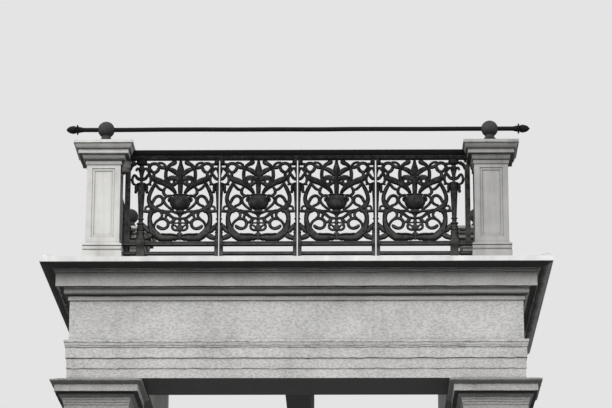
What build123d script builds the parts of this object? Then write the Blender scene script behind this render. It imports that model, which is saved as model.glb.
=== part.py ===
from build123d import *
import os
from math import atan2, cos, hypot, pi, radians, sin

# A balcony on the roof of a porch, in millimetres. X runs along the wall, -Y points away
# from it and Z is up. The origin is the middle of the cornice's flat back face, which
# lies against the wall. Masonry carries four pedestals, and a cast iron railing of
# ornamental panels runs between them on three sides.

# Panels and pedestals
panel_pitch = 640.0
front_panels = 4
side_panels = 3
end_run = 162.0
shaft_width = 275.0
plinth_reach = 23.0
plinth_height = 126.0
base_reach = 15.0
base_height = 31.0
base_step = 6.0
recess_margin = 45.0
recess_head = 30.0
recess_depth = 14.0
recess_step = 19.0
cap_drop = 108.0
cap_reach = 87.0
cap_corona_reach = 49.0
cap_bed_reach = 18.0
cap_band_reach = 9.0
cap_band_height = 34.0
cap_bed_height = 42.0
cap_corona_height = 37.0
cap_cyma_height = 46.0
cap_fillet_height = 26.0
cap_weathering = 26.0
cap_quirk = 5.0
cap_rim = 10.0

# Balls, their necks and the safety rod
ball_diameter = 138.0
ball_foot_diameter = 112.0
ball_neck_height = 71.0
ball_neck_diameter = 60.0
ball_sink = 6.0
ball_seat = 0.6
ball_bands = 5
ball_sides = 10
ball_foot_height = 12.0
ball_waist_height = 30.0
rod_diameter = 30.0
rod_clearance = 0.3
rod_reach = 192.0
finial_length = 138.0
finial_diameter = 60.0
collar_diameter = 80.0
collar_length = 54.0
finial_sides = 10

# Rails of the railing
foot_clearance = 86.0
bottom_rail_height = 26.0
rail_slot = 52.0
mid_rail_height = 47.0
rail_depth = 46.0
block_width = 70.0
block_depth = 60.0
panel_height = 683.0
bead_height = 30.0
bead_depth = 46.0
handrail_height = 56.0
handrail_depth = 72.0
handrail_round = 16.0

# Cast panels
joint_gap = 10.0
plate_depth = 22.0
strip_height = 10.0
stroke = 15.0
bold_stroke = 20.0
baluster_width = 88.0
baluster_flatness = 0.72
baluster_sides = 6
urn_flatness = 0.4
urn_sides = 6
end_bar_width = 43.0
end_bar_offset = 111.0
end_link_heights = (0.12, 0.39, 0.78)

# Masonry below the floor
frieze_reach = 236.5
cyma_reach = 226.0
cornice_reach = 107.0
drip_reach = 95.0
bed_reach = 45.0
fillet_reach = 13.0
fillet_height = 33.0
bed_height = 70.0
bed_step = 4.0
bed_band = 40.0
corona_height = 101.0
drip_depth = 12.0
cyma_height = 60.5
cyma_fillets = 3
cyma_fillet_height = 11.5
cyma_step = 8.0
cyma_bead = 9.0
slab_edge_height = 41.0
slab_rise = 52.5
flashing_thickness = 3.0
frieze_height = 328.0
crown_height = 61.0
crown_reach = 37.0
crown_bead = 12.0
crown_step = 5.0
crown_cap = 20.0
fascia_heights = (88.0, 84.5, 75.5)
fascia_reaches = (22.0, 14.0, 9.0)
rib_width = 200.0

# Capitals of the two piers
abacus_width = 735.0
abacus_splay = 32.0
abacus_crown = 39.0
abacus_fascia = 55.0
abacus_step = 36.0
echinus_reach = 28.0
echinus_step = 10.0
echinus_height = 34.0
neck_fillets = 3
neck_fillet_height = 20.0
neck_fillet_step = 5.0
neck_width = 516.0
neck_height = 106.0
astragal_reach = 14.0
astragal_height = 36.0

# Plan, worked out from the sizes above
half_shaft = shaft_width / 2
half_front = (front_panels * panel_pitch + 2 * end_run + shaft_width) / 2
side_span = side_panels * panel_pitch + 2 * end_run + shaft_width
rear_y = -half_shaft
front_y = rear_y - side_span
half_width = half_front + frieze_reach
front_face = front_y - frieze_reach
beam_width = frieze_reach + abacus_width / 2

# Levels, worked out from the sizes above. The pedestals' caps lie at a set drop below the
# handrail, so that it always dies into them.
cornice_height = fillet_height + bed_height + corona_height + cyma_height
cornice_bottom = -cornice_height / 2
cornice_top = cornice_height / 2
slab_edge_top = cornice_top + slab_edge_height
floor_level = slab_edge_top + slab_rise
beam_height = frieze_height + crown_height + sum(fascia_heights)
beam_bottom = cornice_bottom - beam_height
bottom_rail_level = floor_level + foot_clearance
mid_rail_level = bottom_rail_level + bottom_rail_height + rail_slot
panel_bottom = mid_rail_level + mid_rail_height
panel_top = panel_bottom + panel_height
handrail_level = panel_top + bead_height
shaft_bottom = floor_level + plinth_height + base_height
cap_bottom = handrail_level - cap_drop
cap_bed_bottom = cap_bottom + cap_band_height
cap_corona_bottom = cap_bed_bottom + cap_bed_height
cap_cyma_bottom = cap_corona_bottom + cap_corona_height
cap_fillet_bottom = cap_cyma_bottom + cap_cyma_height
cap_fillet_top = cap_fillet_bottom + cap_fillet_height
cap_top = cap_fillet_top + cap_weathering
ball_centre = cap_top + ball_neck_height + ball_diameter / 2 - ball_sink
cap_face = half_shaft + cap_reach
base_face = half_shaft + base_reach
plinth_face = half_shaft + plinth_reach


def edge_curve(start, end, bow, steps=4):
    """Returns points of a moulding's curve from start to end, as (reach, z) pairs.

    A bow of 1 is a cyma, concave above and convex below, and a bow of 0 is an ovolo.
    """
    (r0, z0), (r1, z1) = start, end
    points = []
    for i in range(steps + 1):
        t = i / steps
        ovolo_r, ovolo_z = sin(t * pi / 2), 1 - cos(t * pi / 2)
        cyma_r, cyma_z = t, t - sin(2 * pi * t) / (2 * pi)
        across = bow * cyma_r + (1 - bow) * ovolo_r
        up = bow * cyma_z + (1 - bow) * ovolo_z
        points.append((r0 + (r1 - r0) * across, z0 + (z1 - z0) * up))
    return points


def turned(outline, sides, x=0.0, y=0.0, flatness=1.0):
    """Returns a turned or moulded piece standing at (x, y), with flat sides all round.

    The outline is a list of (radius to a side, z), bottom first. Each pair of opposite sides
    is one extrusion of the outline as it is seen along them, and the piece is where all of
    these cross, so its corners are mitred. Flatness is its depth over its width.
    """
    reach = 2 * max(radius for radius, z in outline)
    with BuildPart() as piece:
        for i in range(sides // 2):
            angle = 2 * pi * i / sides
            across = Vector(cos(angle), sin(angle) / flatness, 0)
            square = across.normalized()
            half = [(radius / across.length, z) for radius, z in outline]
            with BuildSketch(Plane((x, y, 0), x_dir=square, z_dir=(square.Y, -square.X, 0))):
                with BuildLine():
                    Polyline(half + [(-radius, z) for radius, z in reversed(half)], close=True)
                make_face()
            extrude(amount=reach, both=True, mode=Mode.INTERSECT if i else Mode.ADD)
    return piece.part


def moulded_block(profile, x, y, back=None):
    """Returns a square block with the same moulding on its sides, cut at a back if it has one."""
    whole = turned(profile, 4, x, y)
    with BuildPart() as block:
        add(whole)
        if back is not None:
            split(bisect_by=Plane.XZ.offset(-back), keep=Keep.TOP)
    return block.part


def course(profile):
    """Returns a course of masonry that runs back to the wall, moulded on its three sides.

    The profile is a list of (reach beyond the frieze, z), bottom first.
    """
    front = [(half_width + r, z) for r, z in profile]
    side = [(front_face - r, z) for r, z in profile]
    deep = max(r for r, z in profile) - front_face + 1
    wide = max(r for r, z in profile) + half_width + 1
    with BuildPart() as block:
        with BuildSketch(Plane.XZ):
            with BuildLine():
                Polyline(front + [(-x, z) for x, z in reversed(front)], close=True)
            make_face()
        extrude(amount=deep)
        with BuildSketch(Plane.YZ):
            with BuildLine():
                Polyline([(0, profile[0][1])] + side + [(0, profile[-1][1])], close=True)
            make_face()
        extrude(amount=wide, both=True, mode=Mode.INTERSECT)
    return block.part


def curve(start, bulge, end, chords):
    """Returns points along the circle through three points, as (x, z) pairs."""
    (ax, ay), (bx, by), (cx, cy) = start, bulge, end
    d = 2 * (ax * (by - cy) + bx * (cy - ay) + cx * (ay - by))
    a2, b2, c2 = ax * ax + ay * ay, bx * bx + by * by, cx * cx + cy * cy
    ox = (a2 * (by - cy) + b2 * (cy - ay) + c2 * (ay - by)) / d
    oy = (a2 * (cx - bx) + b2 * (ax - cx) + c2 * (bx - ax)) / d
    radius = hypot(ax - ox, ay - oy)
    first, last = atan2(ay - oy, ax - ox), atan2(cy - oy, cx - ox)
    turn = (last - first) % (2 * pi)
    if (atan2(by - oy, bx - ox) - first) % (2 * pi) > turn:
        turn -= 2 * pi
    angles = [first + turn * i / chords for i in range(chords + 1)]
    return [(ox + radius * cos(a), oy + radius * sin(a)) for a in angles]


def save(part, name):
    """Labels a finished piece and writes it."""
    part.label = name
    export_step(part, f"parts/{name}.step")


def placed(piece, spots):
    """Returns copies of a piece at the given locations."""
    with BuildPart() as copies:
        with Locations(*spots):
            add(piece)
    return copies.part


os.makedirs("parts", exist_ok=True)

# Masonry of the entablature: the beams, their rib, the cornice and the floor
beam_profile = []
level = beam_bottom
for height, reach in zip(reversed(fascia_heights), reversed(fascia_reaches)):
    beam_profile += [(reach, level), (reach, level + height)]
    level += height
crown_top = level + crown_height
bead_reach = fascia_reaches[0] + crown_step
beam_profile += [(bead_reach, level), (bead_reach, level + crown_bead)]
beam_profile += edge_curve((bead_reach, level + crown_bead), (crown_reach, crown_top - crown_cap), 1, 3)[1:]
beam_profile += [(crown_reach, crown_top), (0, crown_top), (0, cornice_bottom)]

inner_x = half_width - beam_width
inner_y = front_face + beam_width
entablature = course(beam_profile)

with BuildPart() as front_beam:
    add(entablature)
    split(bisect_by=Plane.XZ.offset(-inner_y), keep=Keep.TOP)
save(front_beam.part, "front_beam")

with BuildPart() as left_beam:
    add(entablature)
    split(bisect_by=Plane.XZ.offset(-inner_y), keep=Keep.BOTTOM)
    split(bisect_by=Plane.YZ.offset(-inner_x), keep=Keep.BOTTOM)
save(left_beam.part, "left_beam")

with BuildPart() as right_beam:
    add(entablature)
    split(bisect_by=Plane.XZ.offset(-inner_y), keep=Keep.BOTTOM)
    split(bisect_by=Plane.YZ.offset(inner_x), keep=Keep.TOP)
save(right_beam.part, "right_beam")

with BuildPart() as ceiling_rib:
    with BuildSketch(Plane.XY.offset(beam_bottom)):
        with Locations((0, inner_y / 2)):
            Rectangle(rib_width, -inner_y)
    extrude(amount=beam_height)
save(ceiling_rib.part, "ceiling_rib")

fillet_top = cornice_bottom + fillet_height
bed_top = fillet_top + bed_height
corona_top = bed_top + corona_height
drip_top = bed_top - drip_depth
cornice_profile = [(fillet_reach, cornice_bottom), (fillet_reach, fillet_top)]
cornice_profile += edge_curve((fillet_reach + bed_step, fillet_top), (bed_reach, bed_top - bed_band), 0, 3)
cornice_profile += [(bed_reach, bed_top), (drip_reach, bed_top), (drip_reach, drip_top)]
cornice_profile += [(cornice_reach, drip_top), (cornice_reach, corona_top)]
cyma_foot, cyma_bottom = cornice_reach, corona_top
for i in range(cyma_fillets):
    cyma_foot += cyma_step
    cornice_profile += [(cyma_foot, cyma_bottom), (cyma_foot, cyma_bottom + cyma_fillet_height)]
    cyma_bottom += cyma_fillet_height
cornice_profile += edge_curve(
    (cyma_foot + cyma_step, cyma_bottom), (cyma_reach - cyma_bead, cornice_top - cyma_bead), 0, 3
)
cornice_profile += [(cyma_reach, cornice_top - cyma_bead), (cyma_reach, cornice_top)]
cornice_mass = course(cornice_profile)
with BuildPart() as cornice:
    add(cornice_mass)
save(cornice.part, "cornice")

# The floor slab falls away to its edge, and the flashing lies on that slope
slope_reach = plinth_face - frieze_reach
slab = course(
    [
        (cyma_reach, cornice_top),
        (cyma_reach, slab_edge_top - flashing_thickness),
        (slope_reach, floor_level - flashing_thickness),
        (slope_reach, floor_level),
    ]
)
with BuildPart() as floor_slab:
    add(slab)
save(floor_slab.part, "floor_slab")

sheet = course(
    [
        (cyma_reach + flashing_thickness, cornice_top),
        (cyma_reach + flashing_thickness, slab_edge_top),
        (slope_reach, floor_level),
    ]
)
with BuildPart() as edge_flashing:
    add(sheet)
    add(slab, mode=Mode.SUBTRACT)
save(edge_flashing.part, "edge_flashing")

# Capitals of the two piers under the front corners
neck = neck_width / 2
abacus = abacus_width / 2
fillets_height = neck_fillets * neck_fillet_height
capital_bottom = beam_bottom - (
    abacus_splay + abacus_crown + abacus_fascia + echinus_height + fillets_height
    + neck_height + astragal_height
)
neck_bottom = capital_bottom + astragal_height
fillets_bottom = neck_bottom + neck_height
echinus_bottom = fillets_bottom + fillets_height
echinus_top = echinus_bottom + echinus_height
neck_fillet_profile = []
echinus_foot = neck
for i in range(neck_fillets):
    level = fillets_bottom + i * neck_fillet_height
    echinus_foot += neck_fillet_step
    neck_fillet_profile += [(echinus_foot, level), (echinus_foot, level + neck_fillet_height)]
fascia_top = echinus_top + abacus_fascia
capital_profile = (
    [(neck + astragal_reach, capital_bottom)]
    + [(neck + astragal_reach, capital_bottom + astragal_height * 0.6)]
    + [(neck + astragal_reach / 2, capital_bottom + astragal_height * 0.6)]
    + [(neck + astragal_reach / 2, neck_bottom), (neck, neck_bottom), (neck, fillets_bottom)]
    + neck_fillet_profile
    + edge_curve(
        (echinus_foot + echinus_step, echinus_bottom), (echinus_foot + echinus_reach, echinus_top), 0, 3
    )
    + [(abacus - abacus_step, echinus_top), (abacus - abacus_step, fascia_top)]
    + [(abacus, fascia_top + abacus_crown * 0.7)]
    + [(abacus, fascia_top + abacus_crown), (frieze_reach + fascia_reaches[-1], beam_bottom)]
)
for side, name in ((-1, "left"), (1, "right")):
    save(moulded_block(capital_profile, side * half_front, front_y), f"{name}_pier_capital")


# Pedestals at the front corners and at the wall
base_bottom = shaft_bottom - base_height
base_middle = shaft_bottom - base_height / 2
plinth_profile = [(plinth_face, floor_level), (plinth_face, base_bottom)]
base_profile = (
    [(base_face, base_bottom), (base_face, base_middle)]
    + edge_curve((base_face - base_step, base_middle), (half_shaft, shaft_bottom), 1, 3)
    + [(half_shaft, cap_bottom)]
)
cap_band = half_shaft + cap_band_reach
cap_bed = half_shaft + cap_bed_reach
cap_corona = half_shaft + cap_corona_reach
cap_profile = (
    [(cap_band, cap_bottom), (cap_band, cap_bed_bottom - cap_quirk)]
    + [(cap_band - cap_quirk, cap_bed_bottom - cap_quirk), (cap_band - cap_quirk, cap_bed_bottom)]
    + edge_curve((cap_band, cap_bed_bottom), (cap_bed, cap_corona_bottom), 0, 3)
    + [(cap_corona, cap_corona_bottom), (cap_corona, cap_cyma_bottom)]
    + edge_curve((cap_corona + cap_quirk, cap_cyma_bottom), (cap_face, cap_fillet_bottom), 1)
    + [(cap_face, cap_fillet_top), (ball_foot_diameter / 2 + cap_rim, cap_top)]
)


def pedestal_shaft(x, y, back, faces):
    """Returns a pedestal's shaft on its base moulding, with a sunk panel in each face."""
    block = moulded_block(base_profile, x, y, back)
    recess_bottom = shaft_bottom + recess_margin
    recess_top = cap_bottom - recess_head
    recess_width = shaft_width - 2 * recess_margin
    recess_height = recess_top - recess_bottom
    with BuildPart() as shaft:
        add(block)
        for dx, dy in faces:
            face = Plane(
                origin=(x + dx * half_shaft, y + dy * half_shaft, (recess_bottom + recess_top) / 2),
                x_dir=(-dy, dx, 0),
                z_dir=(dx, dy, 0),
            )
            with BuildSketch(face):
                Rectangle(recess_width, recess_height)
            extrude(amount=-recess_depth / 2, mode=Mode.SUBTRACT)
            with BuildSketch(face):
                Rectangle(recess_width - 2 * recess_step, recess_height - 2 * recess_step)
            extrude(amount=-recess_depth, mode=Mode.SUBTRACT)
    return shaft.part


ball_radius = ball_diameter / 2
ball_foot = ball_foot_diameter / 2
ball_waist = ball_neck_diameter / 2
ball_crown = pi / ball_bands / 3
ball_outline = [(ball_foot, cap_top), (ball_foot, cap_top + ball_foot_height)]
ball_outline += [(ball_waist, cap_top + ball_waist_height)]
ball_outline += [(ball_waist, ball_centre - ball_radius * cos(ball_seat))]
for i in range(ball_bands + 1):
    polar = ball_seat + (pi - ball_crown - ball_seat) * i / ball_bands
    ball_outline.append((ball_radius * sin(polar), ball_centre - ball_radius * cos(polar)))


for row, y, back in (("front", front_y, None), ("rear", rear_y, 0)):
    for side, name in ((-1, "left"), (1, "right")):
        x = side * half_front
        faces = [(1, 0), (-1, 0), (0, -1)] + ([(0, 1)] if back is None else [])
        save(moulded_block(plinth_profile, x, y, back), f"{name}_{row}_plinth")
        save(pedestal_shaft(x, y, back, faces), f"{name}_{row}_shaft")
        save(moulded_block(cap_profile, x, y, back), f"{name}_{row}_cap")
        globe = turned(ball_outline, ball_sides, x, y)
        with BuildPart() as stone_ball:
            add(globe)
            if row == "front":
                with BuildSketch(Plane.YZ.offset(x)):
                    with Locations((y, ball_centre)):
                        Circle(rod_diameter / 2 + rod_clearance)
                extrude(amount=ball_diameter, both=True, mode=Mode.SUBTRACT)
        save(stone_ball.part, f"{name}_{row}_ball")

# Safety rod through the two front balls, with a turned finial on each end
rod_half = half_front + rod_reach
with BuildPart() as safety_rod:
    with BuildSketch(Plane.YZ):
        with Locations((front_y, ball_centre)):
            Circle(rod_diameter / 2)
    extrude(amount=rod_half, both=True)
save(safety_rod.part, "safety_rod")

collar, belly = collar_diameter / 2, finial_diameter / 2
acorn_length = finial_length - collar_length
finial_outline = [(belly * 0.6, 0), (belly * 0.9, collar_length * 0.6), (collar, collar_length * 0.68)]
finial_outline += [(collar, collar_length * 0.82), (belly * 0.75, collar_length)]
for share, height in ((1.0, 0.25), (0.85, 0.6), (0.45, 0.9), (0.1, 1.0)):
    finial_outline.append((belly * share, collar_length + acorn_length * height))
finial = turned(finial_outline, finial_sides)
for side, name in ((-1, "left"), (1, "right")):
    spot = Location((side * rod_half, front_y, ball_centre), (0, 90 * side, 0))
    save(placed(finial, [spot]), f"{name}_rod_finial")


# The railing's pieces are drawn along X, with the middle of the run or the joint at x = 0
pedestal = turned(plinth_profile + base_profile + cap_profile, 4)


def fitted(piece, half_run):
    """Returns a run's piece cut to fit the pedestals that stand at both its ends."""
    pedestals = placed(pedestal, [Location((-half_run, 0, 0)), Location((half_run, 0, 0))])
    with BuildPart() as rest:
        add(piece)
        add(pedestals, mode=Mode.SUBTRACT)
    return rest.part


def top_rail(half_run):
    """Returns a handrail with the bead under it, between two pedestal caps."""
    with BuildPart() as rail:
        with BuildSketch(Plane.YZ):
            with Locations((0, handrail_level + handrail_height / 2)):
                Rectangle(handrail_depth, handrail_height)
            chamfer(vertices().group_by(Axis.Y)[-1], handrail_round)
            with Locations((0, panel_top + bead_height / 2)):
                Rectangle(bead_depth, bead_height)
        extrude(amount=half_run, both=True)
    return fitted(rail.part, half_run)


def lower_rails(half_run, panels):
    """Returns two lower rails and the blocks that carry the balusters, parted at the joints."""
    blocks_middle = (floor_level + panel_bottom) / 2
    blocks_height = panel_bottom - floor_level
    joints = [(i - panels / 2) * panel_pitch for i in range(panels + 1)]
    with BuildPart() as rails:
        with BuildSketch(Plane.XZ):
            with Locations((0, bottom_rail_level + bottom_rail_height / 2)):
                Rectangle(2 * half_run, bottom_rail_height)
            with Locations((0, mid_rail_level + mid_rail_height / 2)):
                Rectangle(2 * half_run, mid_rail_height)
        extrude(amount=rail_depth / 2, both=True)
        with BuildSketch(Plane.XZ):
            with Locations(*[(x, blocks_middle) for x in joints]):
                Rectangle(block_width, blocks_height)
        extrude(amount=block_depth / 2, both=True)
        with BuildSketch(Plane.XZ):
            with Locations(*[(x, blocks_middle) for x in joints[1:-1]]):
                Rectangle(joint_gap, blocks_height)
        extrude(amount=block_depth, both=True, mode=Mode.SUBTRACT)
    return fitted(rails.part, half_run)


# Half widths of the baluster as shares of its own, with heights as shares of the panel's
baluster_profile = (
    (0.90, 0.0), (0.50, 0.07), (0.62, 0.14), (0.38, 0.20), (0.80, 0.68),
    (1.00, 0.78), (0.45, 0.86), (0.90, 0.95), (0.90, 1.0),
)


def half_baluster(x, keep, edge):
    """Returns half a flattened baluster at x, cut at the edge where castings meet."""
    outline = [(w * baluster_width / 2, panel_bottom + h * panel_height) for w, h in baluster_profile]
    whole = turned(outline, baluster_sides, x, 0.0, baluster_flatness)
    with BuildPart() as baluster:
        add(whole)
        split(bisect_by=Plane.YZ.offset(edge), keep=keep)
    return baluster.part


# Half widths and heights of the urn and its stem, in the same hundredths as the scrolls
urn_profile = (
    (4, 1), (9, 7), (4, 11), (8, 16), (4, 22), (4, 34), (13, 37), (11, 39), (28, 51), (23, 57),
)


def at(u, v):
    """Returns a place in a panel, in hundredths of half its pitch and of its height."""
    return (u * panel_pitch / 200, panel_bottom + v * panel_height / 100)


def bend(start, bulge, end, chords):
    """Returns points of an arc through three places of a panel."""
    return curve(at(*start), at(*bulge), at(*end), chords)


def coil(u, v, reach, eye, start, turn, chords):
    """Returns points of a spiral about a place of a panel.

    Its radius falls evenly from reach to eye, in hundredths of half the pitch, while its
    angle goes from start through turn, both in degrees.
    """
    squash = panel_pitch / 2 / panel_height
    points = []
    for i in range(chords + 1):
        radius = reach + (eye - reach) * i / chords
        angle = radians(start + turn * i / chords)
        points.append(at(u + radius * cos(angle), v + radius * sin(angle) * squash))
    return points


def bar(points, width):
    """Draws a bar of even width in the open sketch along a path."""
    with BuildLine() as path:
        Polyline(points)
    trace(path.line, line_width=width)


def plate(points):
    """Draws a flat leaf or vessel in the open sketch, through places of a panel."""
    with BuildLine() as outline:
        Polyline([at(u, v) for u, v in points], close=True)
    make_face(outline.edges())


def panel(coils, fine):
    """Returns one cast panel: scrollwork about an urn, between half balusters."""
    half_panel = (panel_pitch - joint_gap) / 2
    urn_outline = [(r * panel_pitch / 200, panel_bottom + v * panel_height / 100) for r, v in urn_profile]
    urn = turned(urn_outline, urn_sides, 0.0, 0.0, urn_flatness)
    near_half = half_baluster(-panel_pitch / 2, Keep.TOP, -half_panel)
    far_half = half_baluster(panel_pitch / 2, Keep.BOTTOM, half_panel)
    with BuildPart() as casting:
        with BuildSketch(Plane.XZ):
            # Lyre round the leaves
            bar(bend((17, 98.5), (42, 81), (18, 57), 3), bold_stroke)
            # Great scroll below, which ends in a leaf at the middle, and the volute inside it
            great = bend((74, 40), (80, 20), (54, 6.5), 3)
            bar(great + bend((54, 6.5), (30, 3), (4, 9), 2)[1:], bold_stroke)
            bar(coil(47, 20, 27, 11, -30, 330, coils), stroke)
            # Outer arc that coils up beside the urn, and links at the urn's foot
            bar(bend((74, 82), (83, 64), (76, 49), 2) + coil(55, 49, 21, 11, 0, -320, coils)[1:], stroke)
            bar(bend((90, 39), (50, 42), (10, 37), 2), stroke)
            # Band from the urn's rim, which coils up in the corner where the casting is fine
            band = bend((20, 57), (48, 71), (73, 83), 2)
            if fine:
                bar(band + coil(68, 90, 15, 11, -75, 300, coils)[1:], stroke)
                bar([at(81, 88), at(94, 87)], stroke)
                bar([at(58, 89), at(40, 89)], stroke)
                bar(bend((22, 55), (39, 50), (16, 41), 2), stroke)
                plate([(0, 61), (32, 72), (30, 76), (0, 66)])
            else:
                bar(band, stroke)
            # Leaves over the urn
            plate([(0, 68), (30, 86), (33, 82), (0, 62)])
            plate([(0, 56), (3, 56), (3, 78), (7, 88), (0, 100)])
            mirror(about=Plane.YZ)
            for strip in (panel_bottom + strip_height / 2, panel_top - strip_height / 2):
                with Locations((0, strip)):
                    Rectangle(2 * half_panel, strip_height)
        extrude(amount=plate_depth / 2, both=True)
        add(urn)
        add(near_half)
        add(far_half)
    return casting.part


def end_piece():
    """Returns the casting past the last panel: half a baluster, links and an upright bar."""
    bar_top = cap_bed_bottom
    strip_run = end_run - cap_corona_reach
    first_half = half_baluster(0, Keep.TOP, -joint_gap / 2)
    with BuildPart() as casting:
        with BuildSketch(Plane.XZ):
            with Locations((end_bar_offset, (panel_bottom + bar_top) / 2)):
                Rectangle(end_bar_width, bar_top - panel_bottom)
            with Locations((strip_run / 2, panel_top - strip_height / 2)):
                Rectangle(strip_run, strip_height)
            for height in end_link_heights:
                with Locations((end_bar_offset / 2, panel_bottom + height * panel_height)):
                    Rectangle(end_bar_offset, stroke)
        extrude(amount=plate_depth / 2, both=True)
        add(first_half)
    return casting.part


front_run = Location((0, front_y, 0))
side_middle = (front_y + rear_y) / 2
left_run = Location((-half_front, side_middle, 0), (0, 0, -90))
right_run = Location((half_front, side_middle, 0), (0, 0, 90))


def panel_spots(run, panels):
    """Returns where a run's panels stand."""
    return [run * Location(((i + 0.5 - panels / 2) * panel_pitch, 0, 0)) for i in range(panels)]


def end_spots(run, panels):
    """Returns where a run's two end pieces stand, the far one turned about."""
    joint = panels * panel_pitch / 2
    return [run * Location((-joint, 0, 0), (0, 0, 180)), run * Location((joint, 0, 0))]


front_panel = panel(5, True)
side_panel = panel(4, False)
closing_piece = end_piece()

save(placed(top_rail(half_front), [front_run]), "front_top_rail")
save(placed(lower_rails(half_front, front_panels), [front_run]), "front_lower_rails")
for i, spot in enumerate(panel_spots(front_run, front_panels)):
    save(placed(front_panel, [spot]), f"front_panel_{i + 1}")
for name, spot in zip(("left", "right"), end_spots(front_run, front_panels)):
    save(placed(closing_piece, [spot]), f"{name}_end_piece")

half_side = side_span / 2
for name, run in (("left", left_run), ("right", right_run)):
    save(placed(top_rail(half_side), [run]), f"{name}_top_rail")
    save(placed(lower_rails(half_side, side_panels), [run]), f"{name}_lower_rails")
    save(placed(side_panel, panel_spots(run, side_panels)), f"{name}_side_panels")
    save(placed(closing_piece, end_spots(run, side_panels)), f"{name}_side_end_pieces")
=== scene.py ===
"""A cast iron balcony on a porch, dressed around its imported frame.

Lengths in the dataclasses are millimetres, as a founder or a mason writes them, and become
metres where a mesh is made. X runs along the wall, -Y points away from it and Z is up.
"""

import logging
import math
from collections.abc import Callable, Sequence
from dataclasses import dataclass, field, replace
from enum import Enum
from functools import partial

import bmesh
import bpy
import numpy as np
from bpy.types import Material, Node, NodeSocket, NodeTree
from mathutils import Matrix, Vector


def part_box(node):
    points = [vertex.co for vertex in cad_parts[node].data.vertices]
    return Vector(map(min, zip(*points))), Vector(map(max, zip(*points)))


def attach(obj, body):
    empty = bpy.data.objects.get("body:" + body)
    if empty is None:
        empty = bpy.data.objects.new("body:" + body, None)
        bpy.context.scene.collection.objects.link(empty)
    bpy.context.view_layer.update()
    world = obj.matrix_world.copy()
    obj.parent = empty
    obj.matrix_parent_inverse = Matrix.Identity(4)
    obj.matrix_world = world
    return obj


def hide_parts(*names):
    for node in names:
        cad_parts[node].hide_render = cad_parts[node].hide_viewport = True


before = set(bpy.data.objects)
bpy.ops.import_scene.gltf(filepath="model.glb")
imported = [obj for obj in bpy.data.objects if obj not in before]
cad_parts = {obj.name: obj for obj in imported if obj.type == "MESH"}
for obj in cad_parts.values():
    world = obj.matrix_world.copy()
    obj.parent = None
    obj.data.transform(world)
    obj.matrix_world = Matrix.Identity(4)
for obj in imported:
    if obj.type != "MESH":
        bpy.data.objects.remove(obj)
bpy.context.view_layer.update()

log = logging.getLogger("balcony")
MM = 0.001
# Points nearer than this, in millimetres, are one
WELD = 0.002
# An edge is sharp where its faces turn by more than this, in degrees
SHARP = 42.0
# How far from a moulding's end its last ring but one stands, in millimetres
LIP = 0.5
# How many sine waves a ripple has, and what their sum is divided by
WAVES = 16
WAVE_SUM = 5
# The nearest that two points of a worn profile lie, in millimetres
NEAREST = 0.05

# A line in a plane, such as a profile: (across, up) at each point
Line = Sequence[tuple[float, float]]
# A plan that a course follows: (x, y, way x, way y) at each corner
Plan = tuple[tuple[float, float, float, float], ...]


# Surfaces
@dataclass
class Surface:
    """A mesh as arrays: points in millimetres, quads and triangles."""

    points: np.ndarray
    quads: np.ndarray
    triangles: np.ndarray

    def moved(self, across: float = 0.0, out: float = 0.0, up: float = 0.0) -> "Surface":
        """Returns the surface shifted along X, Y and Z."""
        return replace(self, points=self.points + np.array([across, out, up]))

    def turned(self, degrees: float) -> "Surface":
        """Returns the surface turned about the Z axis."""
        cos, sin = math.cos(math.radians(degrees)), math.sin(math.radians(degrees))
        return replace(self, points=self.points @ np.array([[cos, sin, 0], [-sin, cos, 0], [0, 0, 1]]))

    def mirrored(self) -> "Surface":
        """Returns the surface reflected in the plane X = 0, with its faces turned to match."""
        flipped = self.points * np.array([-1.0, 1.0, 1.0])
        return Surface(flipped, self.quads[:, ::-1], self.triangles[:, ::-1])

    def upended(self) -> "Surface":
        """Returns the surface with X and Z exchanged, and its faces turned to match."""
        return Surface(self.points[:, [2, 1, 0]], self.quads[:, ::-1], self.triangles[:, ::-1])

    def trimmed(self, low: float) -> "Surface":
        """Returns the surface with the end that stands before X = low pressed flat there."""
        return replace(self, points=np.maximum(self.points, [low, -np.inf, -np.inf]))


def joined(surfaces: list[Surface]) -> Surface:
    """Joins surfaces into one.

    Args:
        surfaces: The surfaces, in any order.

    Returns:
        One surface that holds them all.
    """
    starts = np.cumsum([0] + [len(s.points) for s in surfaces[:-1]])
    return Surface(
        np.vstack([s.points for s in surfaces]),
        np.vstack([s.quads + start for s, start in zip(surfaces, starts)]),
        np.vstack([s.triangles + start for s, start in zip(surfaces, starts)]),
    )


def tube(rings: np.ndarray, first: np.ndarray | None, last: np.ndarray | None) -> Surface:
    """Joins rings of points into a closed skin.

    Ring i's point j makes a quad with its neighbours (i, j + 1), (i + 1, j + 1) and
    (i + 1, j). With poles the ends close in a fan of triangles, and without them the last
    ring meets the first again.

    Args:
        rings: Points as an array of rings, each with the same count.
        first: The pole before the first ring, or None for a skin that closes on itself.
        last: The pole after the last ring, or None.

    Returns:
        The skin, with its faces outwards where each ring turns clockwise as seen from the
        next one.
    """
    count, around = rings.shape[:2]
    loops = first is None
    i = np.arange(count if loops else count - 1)[:, None]
    j = np.arange(around)[None, :]
    here, there = i * around, ((i + 1) % count) * around
    ahead = (j + 1) % around
    quads = np.stack([here + j, here + ahead, there + ahead, there + j], -1).reshape(-1, 4)
    points = rings.reshape(-1, 3)
    if loops:
        return Surface(points, quads, np.zeros((0, 3), int))
    near, far = len(points), len(points) + 1
    k = np.arange(around)
    ahead = (k + 1) % around
    end = (count - 1) * around
    start_fan = np.stack([np.full(around, near), ahead, k], -1)
    end_fan = np.stack([np.full(around, far), end + k, end + ahead], -1)
    return Surface(np.vstack([points, first, last]), quads, np.vstack([start_fan, end_fan]))


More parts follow.
